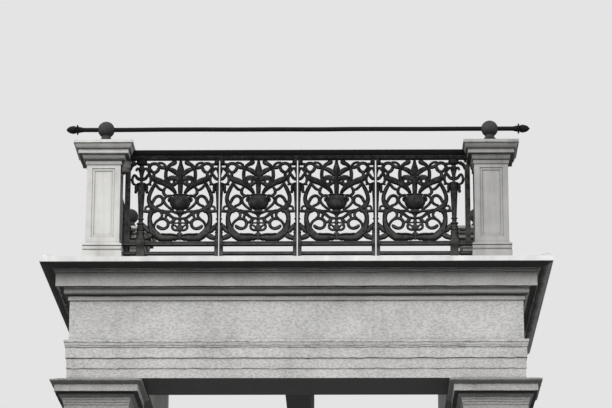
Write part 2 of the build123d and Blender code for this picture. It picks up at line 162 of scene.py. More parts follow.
def spline(places: np.ndarray, count: int, closed: bool = False) -> np.ndarray:
    """Draws a smooth line through places.

    It is the Catmull-Rom curve: between two places it is the cubic whose slope at each is
    half the step from the place before to the place after.

    Args:
        places: The places, one a row.
        count: How many points to give.
        closed: Whether the line comes back to its start.

    Returns:
        The points, evenly spaced in the curve's own parameter.
    """
    if closed:
        padded = np.vstack([places[-1:], places, places[:2]])
        t = np.linspace(0, len(places), count, endpoint=False)
    else:
        padded = np.vstack([2 * places[0] - places[1], places, 2 * places[-1] - places[-2]])
        t = np.linspace(0, len(places) - 1, count)
    step = np.minimum(t.astype(int), len(padded) - 4)
    u = (t - step)[:, None]
    a, b, c, d = (padded[step + k] for k in range(4))
    return b + 0.5 * u * (c - a + u * (2 * a - 5 * b + 4 * c - d + u * (3 * (b - c) + d - a)))


def lathe(
    outline: np.ndarray,
    sides: int,
    flatness: float = 1.0,
    flutes: np.ndarray | None = None,
    cut: float | None = None,
) -> Surface:
    """Turns an outline about the Z axis.

    Point (radius r, height z) at angle a goes to (r cos a, f r sin a, z), where f is the
    flatness. Flutes cut r by their share times (1 - |cos(n a / 2)|). With a cut, a runs
    from -b to b only, where cos b = cut / r, and a flat face closes the skin.

    Args:
        outline: Rows of radius and height, bottom first.
        sides: How many points go round.
        flatness: The depth over the width.
        flutes: For each row, its share, with the count n in the last place; or None.
        cut: Where on X a flat face cuts off what lies before it, or None.

    Returns:
        The turned skin, closed at both ends.
    """
    radius = outline[:, :1]
    if cut is None:
        angle = np.linspace(0, 2 * np.pi, sides, endpoint=False)[None, :]
    else:
        angle = np.arccos(cut / radius) * np.linspace(-1, 1, sides)[None, :]
    if flutes is not None:
        share, number = flutes[:-1, None], flutes[-1]
        radius = radius * (1 - share * (1 - np.abs(np.cos(number * angle / 2))))
    across = radius * np.cos(angle)
    if cut is not None:
        across = np.maximum(across, cut)
    height = np.repeat(outline[:, 1:2], sides, 1)
    rings = np.stack([across, radius * np.sin(angle) * flatness, height], -1)
    return tube(rings, rings[0].mean(0), rings[-1].mean(0))


def ripple(places: np.ndarray, size: float, seed: int) -> np.ndarray:
    """Gives a smooth, aimless wander for each place.

    It is a sum of sine waves, each with its own direction and phase and a length between
    half the size and twice the size, scaled down and held between -1 and 1.

    Args:
        places: The places, with x, y and z in the last axis.
        size: The wander's length in millimetres.
        seed: The number that the directions and phases are drawn from.

    Returns:
        A value between -1 and 1 for each place.
    """
    draw = np.random.default_rng(seed)
    ways = draw.normal(size=(WAVES, 3))
    ways /= np.linalg.norm(ways, axis=1)[:, None]
    lengths = size * 2 ** draw.uniform(-1, 1, WAVES)
    phases = draw.uniform(0, 2 * np.pi, WAVES)
    waves = np.sin(places @ (2 * np.pi * ways / lengths[:, None]).T + phases)
    return np.clip(waves.sum(-1) / WAVE_SUM, -1, 1)


def shifted(profile: Line, out: float = 0.0, up: float = 0.0) -> list[tuple[float, float]]:
    """Returns a profile moved out and up."""
    return [(out + reach, up + height) for reach, height in profile]


def stair(start: tuple[float, float], out: float, up: float) -> list[tuple[float, float]]:
    """Draws three fillets, each a step out and a step up from the one before."""
    return [(start[0] + out * i, start[1] + up * (i + k)) for i in range(3) for k in (0, 1)]


def cyma(
    start: tuple[float, float], end: tuple[float, float], bow: float, count: int = 9
) -> list[tuple[float, float]]:
    """Draws a moulding's curve from start to end, as pairs of reach and height.

    With a bow of 1 the height lags as t - sin(2 pi t) / (2 pi), concave above and convex
    below. With a bow of 0 it is a quarter of an ellipse.

    Args:
        start: The lower end.
        end: The upper end.
        bow: The share of the double curve.
        count: How many points to give.

    Returns:
        The points, lower end first.
    """
    t = np.linspace(0, 1, count)
    across = bow * t + (1 - bow) * np.sin(t * np.pi / 2)
    up = bow * (t - np.sin(2 * np.pi * t) / (2 * np.pi)) + (1 - bow) * (1 - np.cos(t * np.pi / 2))
    wide, high = end[0] - start[0], end[1] - start[1]
    return [(start[0] + wide * a, start[1] + high * b) for a, b in zip(across, up)]


def moulding(half: Line, start: float, end: float) -> Surface:
    """Carries a section that is alike on both sides along X.

    Each ring is the section at one place along the run, and the poles at its middle close
    the ends.

    Args:
        half: The section's outer side as (out, up), bottom first; a point at 0 comes last.
        start: Where the moulding starts.
        end: Where it ends.

    Returns:
        The moulding's closed skin.
    """
    right = np.array(half, float)
    outline = np.vstack([right, right[right[:, 0] > 0][::-1] * (-1, 1)])
    rings = np.stack([np.insert(outline, 0, x, 1) for x in (start, start + LIP, end - LIP, end)])
    middle = outline.mean(0)
    return tube(rings, np.array([start, *middle]), np.array([end, *middle]))


@dataclass(frozen=True)
class Course:
    """A moulded course of masonry, whose faces wander and whose arrises are worn.

    The profile is (reach, height), bottom first. A corner of the plan is (x, y, way x, way
    y): a point of the profile with reach r lies at (x + r way x, y + r way y). The side
    from the last corner to the first is the plain back, where the course has one. Wear cuts
    off no more than its share of a short side. The rise is the share of the wander that
    points go up or down, and the rise's length is its share of the wander's.
    """

    profile: Line
    plan: Plan
    back: bool = False
    step: float = 15.0
    spacing: float = 28.0
    wear: float = 2.5
    wander: float = 2.0
    wander_length: float = 260.0
    grit: float = 1.0
    seed: int = 1
    wear_share: float = 0.3
    rise: float = 0.9
    rise_length: float = 0.7

    def rows(self) -> np.ndarray:
        """Walks the profile in even steps, and cuts each corner by the wear.

        Returns:
            Rows of reach and height.
        """
        corners = np.array(self.profile, float)
        run = np.concatenate([[0], np.cumsum(np.hypot(*np.diff(corners, axis=0).T))])
        even = np.linspace(0, run[-1], int(run[-1] / self.step))
        inner = run[1:-1]
        gap = np.minimum(self.wear, self.wear_share * np.minimum(np.diff(run)[:-1], np.diff(run)[1:]))
        even = even[np.abs(even[:, None] - inner).min(1) > self.wear]
        marks = np.sort(np.concatenate([even, inner - gap, inner + gap, run[[0, -1]]]))
        marks = marks[np.concatenate([[True], np.diff(marks) > NEAREST])]
        return np.stack([np.interp(marks, run, corners[:, 0]), np.interp(marks, run, corners[:, 1])], -1)

    def surface(self) -> Surface:
        """Carries the profile round the plan.

        The station u between corner i and i + 1 mixes both corners' places and ways
        evenly, so the corners are mitred. Each point then goes in, along its side's normal,
        by the wander and a random grit, and rises or falls with a second wander, apart from
        the lowest and the highest row. The first station follows the last, and the ends are
        closed by fans about their middles.

        Returns:
            The course's closed skin.
        """
        rows = self.rows()
        plan = np.array(self.plan + self.plan[:1], float)
        far = np.abs(rows[:, 0]).max()
        ends = plan[:, :2] + far * plan[:, 2:]
        counts = np.maximum(1, (np.hypot(*np.diff(ends, axis=0).T) / self.spacing).astype(int))
        if self.back:
            counts[-1] = 1
        u = np.concatenate([i + np.arange(n) / n for i, n in enumerate(counts)])
        corner = np.arange(len(plan))
        x, y, way_x, way_y = (np.interp(u, corner, plan[:, k]) for k in range(4))
        side = np.diff(ends, axis=0)[u.astype(int)]
        normal = np.stack([side[:, 1], -side[:, 0]], -1) / np.linalg.norm(side, axis=1)[:, None]
        height = np.repeat(rows[:, 1:], len(u), 1)
        points = np.stack([x + rows[:, :1] * way_x, y + rows[:, :1] * way_y, height], -1)
        draw = np.random.default_rng(self.seed)
        depth = self.wander * (0.5 + 0.5 * ripple(points, self.wander_length, self.seed))
        depth = depth + self.grit * draw.uniform(0, 1, depth.shape)
        depth *= (np.abs(way_x) + np.abs(way_y) > 0)[None, :]
        waves = ripple(points, self.rise_length * self.wander_length, self.seed + 1)
        rise = self.rise * self.wander * waves
        rise[[0, -1]] = 0
        points[..., 0] -= depth * normal[:, 0]
        points[..., 1] -= depth * normal[:, 1]
        points[..., 2] += rise
        poles = [np.append(points[k, :, :2].mean(0), rows[k, 1]) for k in (0, -1)]
        return tube(points, poles[0], poles[1])


# Cast bars
class Section(Enum):
    """The shape that a cast bar has across its length."""

    ROUND = "half round on both faces"
    FLUTED = "two rolls with a channel between them"
    LEAF = "a ribbed leaf with a lobed edge"


@dataclass(frozen=True)
class Bar:
    """One bar of the ornament, in millimetres from the middle of its casting's foot.

    Places are (across, up, half width), along the middle of the bar, and the swell adds to
    the half width. The relief is scaled by the fullness. A channel's depth is a share of
    the relief, and its width one of the half width. A leaf swells and rises once in each
    lobe, and has three ribs. Ends are blunt by a share of the half width, and no end is
    thinner than its share of the relief. A short bar has the fewest sections.
    """

    places: tuple[tuple[float, float, float], ...]
    relief: float = 11.0
    section: Section = Section.ROUND
    closed: bool = False
    lobe: float = 26.0
    swell: float = 3.2
    fullness: float = 1.2
    channel_depth: float = 0.38
    channel_width: float = 0.3
    lobe_swell: float = 0.16
    lobe_rise: float = 0.15
    rib_depth: float = 0.2
    blunt: float = 0.12
    thinnest: float = 0.25
    fewest: int = 8

    def surface(self, around: int = 12, spacing: float = 11.0) -> Surface:
        """Carries the section along the bar.

        With c the line, n its normal in the panel's plane and w the half width, the point
        at angle a is c + n w cos a, and stands s(a) times the relief before the plane. The
        width and the relief die away at the two ends as a quarter circle does.

        Args:
            around: How many points the section has.
            spacing: The distance between sections.

        Returns:
            The bar's closed skin.
        """
        places = np.array(self.places, float)
        length = np.hypot(*np.diff(places[:, :2], axis=0).T).sum()
        count = max(self.fewest, int(length / spacing))
        line = spline(places, count, self.closed)
        middle, width = line[:, :2], line[:, 2] + self.swell
        if self.closed:
            tangent = np.roll(middle, -1, 0) - np.roll(middle, 1, 0)
        else:
            tangent = np.gradient(middle, axis=0)
        tangent /= np.linalg.norm(tangent, axis=1)[:, None]
        normal = np.stack([tangent[:, 1], -tangent[:, 0]], -1)
        run = np.concatenate([[0], np.cumsum(np.hypot(*np.diff(middle, axis=0).T))])
        taper = np.ones(count)
        if not self.closed:
            from_end = np.minimum(run, run[-1] - run) + self.blunt * width
            taper = np.sqrt(1 - np.clip(1 - from_end / width, 0, 1) ** 2)
        lobes = np.abs(np.sin(np.pi * run / self.lobe))
        if self.section is Section.LEAF:
            width = width * (1 + self.lobe_swell * lobes)
        angle = np.linspace(0, 2 * np.pi, around, endpoint=False)
        across, rise = np.cos(angle), np.sin(angle)
        if self.section is Section.FLUTED:
            rise = rise * (1 - self.channel_depth * np.exp(-((across / self.channel_width) ** 2)))
        height = np.repeat(rise[None, :], count, 0) * self.relief * self.fullness
        if self.section is Section.LEAF:
            height = height * (1 - self.rib_depth * (1 - np.cos(3 * np.pi * across)))[None, :]
            height = height * (1 - self.lobe_rise * (1 - lobes))[:, None]
        side = across[None, :] * (width * taper)[:, None]
        height = height * np.maximum(taper, self.thinnest)[:, None]
        skin = middle[:, None] + normal[:, None] * side[..., None]
        rings = np.stack([skin[..., 0], height, skin[..., 1]], -1)
        if self.closed:
            return tube(rings, None, None)
        poles = [np.array([middle[i, 0], 0.0, middle[i, 1]]) for i in (0, -1)]
        return tube(rings, poles[0], poles[1])


# The right half of a panel's scrollwork, seen from the street
LYRE = (
    Bar(((47, 683, 19), (51, 668, 20), (62, 657, 18), (77, 650, 15), (98, 634, 13), (114, 608, 12),
         (121, 575, 12), (120, 535, 13), (111, 503, 13), (90, 474, 13), (64, 448, 11), (44, 419, 9),
         (33, 392, 7)), 13, Section.FLUTED),
)
LEAVES = (
    Bar(((6, 545, 12), (30, 571, 16), (56, 592, 17), (80, 604, 15), (106, 610, 10)), 10, Section.LEAF),
    Bar(((6, 501, 12), (32, 523, 15), (58, 534, 16), (82, 534, 15), (104, 523, 11)), 10, Section.LEAF),
    Bar(((6, 490, 9), (30, 487, 10), (54, 474, 14), (78, 467, 13), (98, 472, 12)), 9),
    Bar(((94, 499, 7), (88, 514, 6), (73, 519, 6), (58, 514, 7), (51, 499, 9), (58, 485, 7), (73, 479, 7),
         (88, 485, 7)), 8, closed=True),
)
CORNER = (
    Bar(((120, 617, 12), (150, 620, 13), (172, 631, 13), (189, 648, 12), (214, 656, 12), (240, 650, 12),
         (257, 628, 12), (262, 600, 11), (258, 572, 10), (247, 550, 10), (230, 533, 12)), 11,
        Section.FLUTED),
    Bar(((178, 630, 11), (183, 604, 12), (202, 583, 12), (226, 580, 11), (246, 600, 10), (254, 622, 7)), 9),
    Bar(((212, 580, 9), (220, 556, 11), (215, 528, 10)), 9),
    Bar(((120, 628, 10), (135, 647, 9), (151, 659, 8), (172, 662, 8), (192, 659, 9)), 9),
)
BAND = (
    Bar(((242, 546, 12), (224, 530, 18), (198, 514, 22), (166, 502, 22), (134, 487, 19), (104, 465, 16),
         (76, 444, 13), (52, 418, 10), (37, 394, 7)), 12, Section.LEAF),
    Bar(((116, 458, 9), (133, 434, 10), (138, 408, 11), (127, 388, 10), (100, 378, 8)), 9),
    Bar(((206, 482, 10), (188, 456, 10), (170, 438, 10), (150, 428, 9), (128, 430, 9)), 9),
)
HANDLE = (
    Bar(((66, 380, 8), (96, 379, 9), (120, 368, 9), (133, 343, 9), (125, 316, 9), (102, 289, 9),
         (76, 270, 9), (50, 260, 8)), 10),
    Bar(((62, 366, 7), (82, 364, 7), (94, 350, 7), (92, 334, 6), (80, 328, 4)), 9),
)
OUTER_ARC = (
    Bar(((206, 496, 9), (216, 468, 12), (231, 440, 14), (243, 412, 14), (252, 386, 14), (257, 360, 14),
         (254, 330, 16), (241, 302, 18), (218, 278, 19), (190, 262, 17), (160, 250, 12), (128, 239, 12),
         (98, 225, 12), (68, 200, 10), (42, 187, 9), (6, 184, 8)), 12, Section.FLUTED),
    Bar(((234, 300, 8), (219, 338, 11), (203, 363, 11), (178, 377, 11), (152, 368, 11), (140, 342, 11),
         (147, 314, 10), (170, 297, 9), (200, 287, 9)), 10, Section.FLUTED),
    Bar(((162, 258, 9), (122, 247, 9), (90, 246, 9), (60, 245, 9), (34, 234, 9), (6, 226, 9)), 9),
    Bar(((285, 263, 7), (281, 282, 7), (263, 290, 8), (244, 282, 7), (240, 264, 7), (252, 251, 7),
         (272, 249, 7)), 8, closed=True),
    Bar(((306, 247, 9), (264, 245, 10), (224, 244, 14), (186, 252, 13)), 10),
    Bar(((165, 248, 9), (149, 228, 9), (147, 207, 9), (158, 190, 8), (176, 177, 8)), 9),
    Bar(((106, 230, 9), (112, 210, 9), (117, 190, 9)), 9),
)
GREAT_SCROLL = (
    Bar(((214, 251, 13), (234, 236, 19), (244, 212, 17), (247, 182, 16), (244, 152, 19), (237, 120, 23),
         (225, 90, 27), (205, 62, 28), (170, 40, 26)), 14, Section.FLUTED),
    Bar(((228, 92, 12), (202, 58, 24), (168, 30, 28), (128, 22, 28), (88, 22, 27), (48, 24, 24),
         (4, 20, 18)), 15, Section.LEAF, lobe=40),
    Bar(((154, 55, 5), (114, 48, 8), (76, 49, 8), (38, 44, 8), (10, 34, 7)), 17),
    Bar(((213, 90, 9), (211, 124, 9), (197, 153, 9), (173, 174, 9), (145, 183, 10), (118, 179, 12),
         (98, 159, 11), (95, 136, 11), (104, 112, 10), (128, 99, 11), (156, 103, 13), (177, 117, 12),
         (183, 132, 7)), 10, Section.FLUTED),
    Bar(((222, 52, 18), (250, 32, 19), (278, 20, 16), (308, 10, 13)), 11, Section.LEAF),
    Bar(((300, 136, 11), (284, 114, 17), (264, 88, 17), (246, 64, 14)), 10),
)
STEM = (
    Bar(((44, 190, 13), (53, 166, 14), (77, 151, 9), (100, 162, 11), (120, 188, 12)), 9),
    Bar(((38, 152, 5), (55, 139, 7), (62, 116, 8), (54, 95, 8), (30, 85, 8), (6, 88, 8)), 9),
    Bar(((52, 122, 4), (40, 127, 5), (31, 119, 5), (31, 108, 4)), 7),
    Bar(((6, 148, 4), (26, 147, 4), (48, 146, 5)), 7),
)
SIDE_LINKS = (
    Bar(((262, 568, 8), (276, 550, 8), (290, 530, 8), (306, 516, 9)), 9),
    Bar(((250, 647, 10), (278, 649, 9), (306, 648, 9)), 9),
    Bar(((236, 472, 7), (262, 477, 7), (292, 472, 8)), 8),
)
HALF_PANEL = LYRE + LEAVES + CORNER + BAND + HANDLE + OUTER_ARC + GREAT_SCROLL + STEM + SIDE_LINKS
SPEAR = Bar(((0, 684, 8), (0, 655, 11), (0, 628, 18), (0, 608, 23), (0, 588, 21), (0, 566, 15), (0, 545, 13),
             (0, 480, 16), (0, 430, 16), (0, 385, 14)), 12, Section.LEAF, lobe=300)

# One side of a baluster, from its axis outwards
COLLAR = (
    Bar(((0, 520, 12), (22, 523, 12), (40, 537, 10), (54, 562, 7)), 15, Section.FLUTED),
    Bar(((52, 564, 7), (66, 552, 8), (75, 530, 8), (75, 502, 9), (63, 480, 8), (42, 474, 8)), 9),
    Bar(((36, 482, 9), (44, 452, 10), (42, 428, 8), (46, 412, 9), (40, 400, 6)), 10, Section.LEAF, lobe=18),
    Bar(((30, 622, 9), (42, 604, 8), (44, 590, 5)), 9),
)


@dataclass(frozen=True)
class Turned:
    """A turned and flattened part of a casting, fluted between two of its heights.

    Its outline is (radius, height), bottom first, and a flute's depth is a share of the
    radius.
    """

    outline: Line
    flatness: float
    flute_depth: float
    flute_count: int
    fluted: tuple[float, float]
    sides: int

    def surface(self, cut: float | None = None) -> Surface:
        """Turns the outline about the part's axis.

        Args:
            cut: Where on X a flat face cuts off what lies before it, or None.

        Returns:
            The part's closed skin.
        """
        rows = spline(np.array(self.outline, float), 2 * len(self.outline))
        inside = (rows[:, 1] > self.fluted[0]) & (rows[:, 1] < self.fluted[1])
        flutes = np.append(np.where(inside, self.flute_depth, 0.0), self.flute_count)
        return lathe(rows, self.sides, self.flatness, flutes, cut)


# The baluster at each joint, in millimetres above the mid rail
BALUSTER = Turned(
    ((40, 0), (40, 11), (34, 34), (29, 57), (32, 60), (33, 66), (32, 72), (27, 77), (32, 82), (33, 88),
     (30, 94), (30, 102), (28, 116), (24, 130), (31, 134), (33, 140), (31, 146), (20, 151), (19, 166),
     (20, 174), (25, 177), (27, 181), (25, 186), (19, 191), (20, 204), (24, 290), (28, 377), (33, 453),
     (36, 474), (40, 480), (38, 486), (28, 490), (13, 497), (12, 511), (14, 530), (16, 552), (22, 580),
     (28, 598), (33, 611), (31, 618), (20, 627), (19, 638), (36, 644), (44, 652), (44, 668), (42, 672),
     (42, 683)),
    flatness=0.62, flute_depth=0.13, flute_count=16, fluted=(200.0, 470.0), sides=27,
)
# The gadrooned urn at the middle of a panel, with its knobbed stem
URN = Turned(
    ((12, 0), (14, 22), (20, 40), (24, 54), (20, 62), (10, 69), (20, 80), (28, 96), (29, 106), (24, 122),
     (12, 133), (21, 144), (22, 150), (14, 160), (14, 172), (23, 179), (24, 184), (14, 190), (14, 204),
     (28, 222), (44, 234), (45, 242), (40, 249), (30, 256), (46, 263), (66, 278), (80, 298), (87, 323),
     (85, 346), (74, 362), (63, 373), (64, 378), (70, 382), (70, 388), (58, 391)),
    flatness=0.42, flute_depth=0.09, flute_count=26, fluted=(262.0, 340.0), sides=78,
)


def half_baluster(cut: float) -> Surface:
    """Returns what of a baluster stands to the right of X = cut, with its collar and a flat face."""
    return joined([BALUSTER.surface(cut)] + [bar.surface().trimmed(cut) for bar in COLLAR])


# Finishes
def linear(code: str) -> tuple[float, float, float, float]:
    """Turns an sRGB hex colour to linear light.

    Args:
        code: Six hex digits.

    Returns:
        Red, green, blue and an alpha of 1.
    """
    parts = [int(code[i : i + 2], 16) / 255 for i in (0, 2, 4)]
    red, green, blue = (c / 12.92 if c <= 0.04045 else ((c + 0.055) / 1.055) ** 2.4 for c in parts)
    return red, green, blue, 1.0


def grey(value: float) -> str:
    """Returns the hex code of a grey, from 0 for black to 1 for white."""
    return f"{round(255 * min(value, 1.0)):02X}" * 3


def add_node(
    tree: NodeTree, kind: str | Node, settings: dict | None = None, **links: Node | NodeSocket
) -> Node:
    """Adds a node, or takes one that is there, and gives it its settings and links.

    Args:
        tree: The nodes that it is one of.
        kind: The new node's type, or the node that is there.
        settings: Values by attribute, by input name, or by input place; a colour ramp's
            stops, as (place, hex colour), under "stops".
        links: What feeds an input: an output, or a node that gives its first one. The input
            is named with _ for a space, or as in<n> for the one at place n.

    Returns:
        The node.
    """
    node = tree.nodes.new(kind) if isinstance(kind, str) else kind
    for key, value in (settings or {}).items():
        if key == "stops":
            for _ in value[2:]:
                node.color_ramp.elements.new(0.5)
            for element, (place, code) in zip(node.color_ramp.elements, value):
                element.position = place
                element.color = linear(code)
        elif isinstance(key, str) and hasattr(node, key):
            setattr(node, key, value)
        else:
            node.inputs[key].default_value = value
    for key, source in links.items():
        place = int(key[2:]) if key[:2] == "in" and key[2:].isdigit() else key.replace("_", " ")
        output = source.outputs[0] if isinstance(source, Node) else source
        tree.links.new(output, node.inputs[place])
    return node


def start_material(name: str) -> tuple[Material, NodeTree, NodeSocket, Node]:
    """Starts a material.

    Args:
        name: The material's name.

    Returns:
        The material, its nodes, the object coordinates in metres, and the shader.
    """
    material = bpy.data.materials.new(name)
    material.use_nodes = True
    tree = material.node_tree
    place = add_node(tree, "ShaderNodeTexCoord").outputs["Object"]
    return material, tree, place, tree.nodes["Principled BSDF"]


@dataclass(frozen=True)
class PaintedShade:
    """Painted shade: on what faces down, and in corners.

    The amount of painted shade covers a face that looks straight down, and all of it is
    there from the normal's height called steep. Painted shade in corners, found by ambient
    occlusion, reaches the crevice's width, in millimetres, out of a corner, and the deepest
    corner loses the share of its colour called depth.
    """

    # The painted shade's colour
    colour: str
    amount: float
    crevice: float
    depth: float
    steep: float = -0.75

    def over(self, tree: NodeTree, colour: NodeSocket) -> NodeSocket:
        """Darkens a colour with painted shade.

        Args:
            tree: The material's nodes.
            colour: The colour so far.

        Returns:
            The colour with its painted shade.
        """
        add = partial(add_node, tree)
        # Painted shade on what faces down
        normal = add("ShaderNodeNewGeometry").outputs["Normal"]
        upward = add("ShaderNodeSeparateXYZ", Vector=normal).outputs[2]
        downward = {"From Min": self.steep / 6, "From Max": self.steep, "To Min": 0.0, "To Max": self.amount}
        share = add("ShaderNodeMapRange", downward, Value=upward)
        # Painted shade in corners, where ambient occlusion finds them
        corner = add("ShaderNodeAmbientOcclusion", {"samples": 6, "Distance": self.crevice * MM})
        open_air = {"From Min": 0.25, "From Max": 0.92, "To Min": self.depth, "To Max": 0.0}
        corner_shade = add("ShaderNodeMapRange", open_air, Value=corner.outputs["AO"])
        both = add("ShaderNodeMath", {"operation": "MAXIMUM"}, in0=share, in1=corner_shade)
        mix = {"data_type": "RGBA", 7: linear(self.colour)}
        return add("ShaderNodeMix", mix, in0=both, in6=colour).outputs[2]


@dataclass(frozen=True)
class Masonry:
    """Weathered stone or render: rough grain, soft blotches and streaks of rain and soot.

    The grain is the size of its coarsest grit, which gives a bitten, matt face. The
    trowel's marks lie level, so grit and pits are stretched along the wall, and rain's
    streaks are stretched upright. A metre holds 720 pits where the grain is 1 mm, and fewer
    where it is coarser. Painted shade darkens what faces down, and the corners. Bands are
    (height, share of the colour) from the lowest up: painted shade under the overhangs. The
    side light is how much of the banded and the other painted shade is lifted, as painted
    light, from faces that look towards +X.
    """

    name: str
    pale: str
    middle: str
    dark: str
    grain: float = 9.0
    grain_depth: float = 2.0
    blotch: float = 420.0
    streak: float = 0.25
    speckle: float = 0.5
    pits: float = 0.5
    # Painted light: how much painted shade is lifted on faces towards +X
    side_light_share: float = 0.0
    # How much painted shade covers what faces straight down
    painted_shade: float = 0.96
    roughness: float = 0.92
    # Painted shade in bands under overhangs, by height
    bands: Line = ()
    upright: tuple[float, float, float] = (14.0, 14.0, 0.9)
    level: tuple[float, float, float] = (0.45, 0.45, 1.0)
    pits_by_metre: float = 720.0

    def build(self) -> Material:
        """Builds the finish: its pattern, its colour, its painted light and shade, and the bump.

        Returns:
            The material.
        """
        material, tree, place, shader = start_material(self.name)
        add = partial(add_node, tree)
        soft = {"Scale": 1000 / self.blotch, "Detail": 6.0, "Roughness": 0.62}
        blotches = add("ShaderNodeTexNoise", soft, Vector=place)
        upright = add("ShaderNodeMapping", {"Scale": self.upright}, Vector=place)
        streaks = add("ShaderNodeTexNoise", {"Scale": 1.0, "Detail": 5.0, "Roughness": 0.6}, Vector=upright)
        level = add("ShaderNodeMapping", {"Scale": self.level}, Vector=place)
        coarse = {"Scale": 1000 / self.grain, "Detail": 4.0, "Roughness": 0.72}
        grit = add("ShaderNodeTexNoise", coarse, Vector=level)
        cells = {"Scale": self.pits_by_metre / self.grain, "Randomness": 1.0}
        pits = add("ShaderNodeTexVoronoi", cells, Vector=level)
        edge = {"From Min": 0.0, "From Max": 0.62, "To Min": 0.25, "To Max": 1.0}
        hollow = add("ShaderNodeMapRange", edge, Value=pits)
        mixed = add("ShaderNodeMix", {"data_type": "FLOAT", 0: self.streak}, in2=blotches, in3=streaks)
        speckled = add("ShaderNodeMix", {"data_type": "FLOAT", 0: self.speckle}, in2=mixed, in3=grit)
        stops = [(0.34, self.dark), (0.48, self.middle), (0.62, self.pale)]
        colour = add("ShaderNodeValToRGB", {"stops": stops}, Fac=speckled)
        pitted = {"data_type": "RGBA", "blend_type": "MULTIPLY", 0: self.pits}
        colour = add("ShaderNodeMix", pitted, in6=colour, in7=hollow).outputs[2]
        if self.bands:
            colour, side_light = self.banded(add, place, colour)
        # Painted shade on what faces down and in corners
        shaded_colour = PaintedShade("171615", self.painted_shade, crevice=26.0, depth=0.75).over(tree, colour)
        # Painted light lifts the painted shade on faces towards +X
        if self.side_light_share:
            shaded_colour = add("ShaderNodeMix", {"data_type": "RGBA"}, in0=side_light, in6=shaded_colour, in7=colour).outputs[2]
        rough = add("ShaderNodeMath", {"operation": "MULTIPLY"}, in0=grit, in1=hollow)
        bump = add("ShaderNodeBump", {"Strength": 1.0, "Distance": self.grain_depth * MM}, Height=rough)
        add(shader, {"Roughness": self.roughness}, Base_Color=shaded_colour, Normal=bump)
        return material

    def banded(
        self, add: Callable[..., Node], place: NodeSocket, colour: NodeSocket
    ) -> tuple[NodeSocket, NodeSocket]:
        """Darkens a colour by the bands of painted shade.

        Args:
            add: What adds a node to the material.
            place: The object coordinates in metres.
            colour: The colour so far.

        Returns:
            The colour with its bands of painted shade, and how much painted light lifts the shade on each
            face.
        """
        # Painted shade in bands, by height
        low, high = self.bands[0][0], self.bands[-1][0]
        height = add("ShaderNodeSeparateXYZ", Vector=place).outputs[2]
        share = add("ShaderNodeMapRange", {"From Min": low * MM, "From Max": high * MM}, Value=height)
        stops = [((z - low) / (high - low), grey(value)) for z, value in self.bands]
        shade = add("ShaderNodeValToRGB", {"stops": stops}, Fac=share)
        # Painted light on faces that look towards +X
        normal = add("ShaderNodeNewGeometry").outputs["Normal"]
        along = add("ShaderNodeSeparateXYZ", Vector=normal).outputs[0]
        side = {"From Min": 0.03, "From Max": 0.2, "To Min": 0.0, "To Max": self.side_light_share}
        side_light = add("ShaderNodeMapRange", side, Value=along).outputs[0]
        shade = add("ShaderNodeMix", {"data_type": "RGBA", 7: linear("FFFFFF")}, in0=side_light, in6=shade)
        dark = {"data_type": "RGBA", "blend_type": "MULTIPLY", 0: 1.0}
        return add("ShaderNodeMix", dark, in6=colour, in7=shade.outputs[2]).outputs[2], side_light


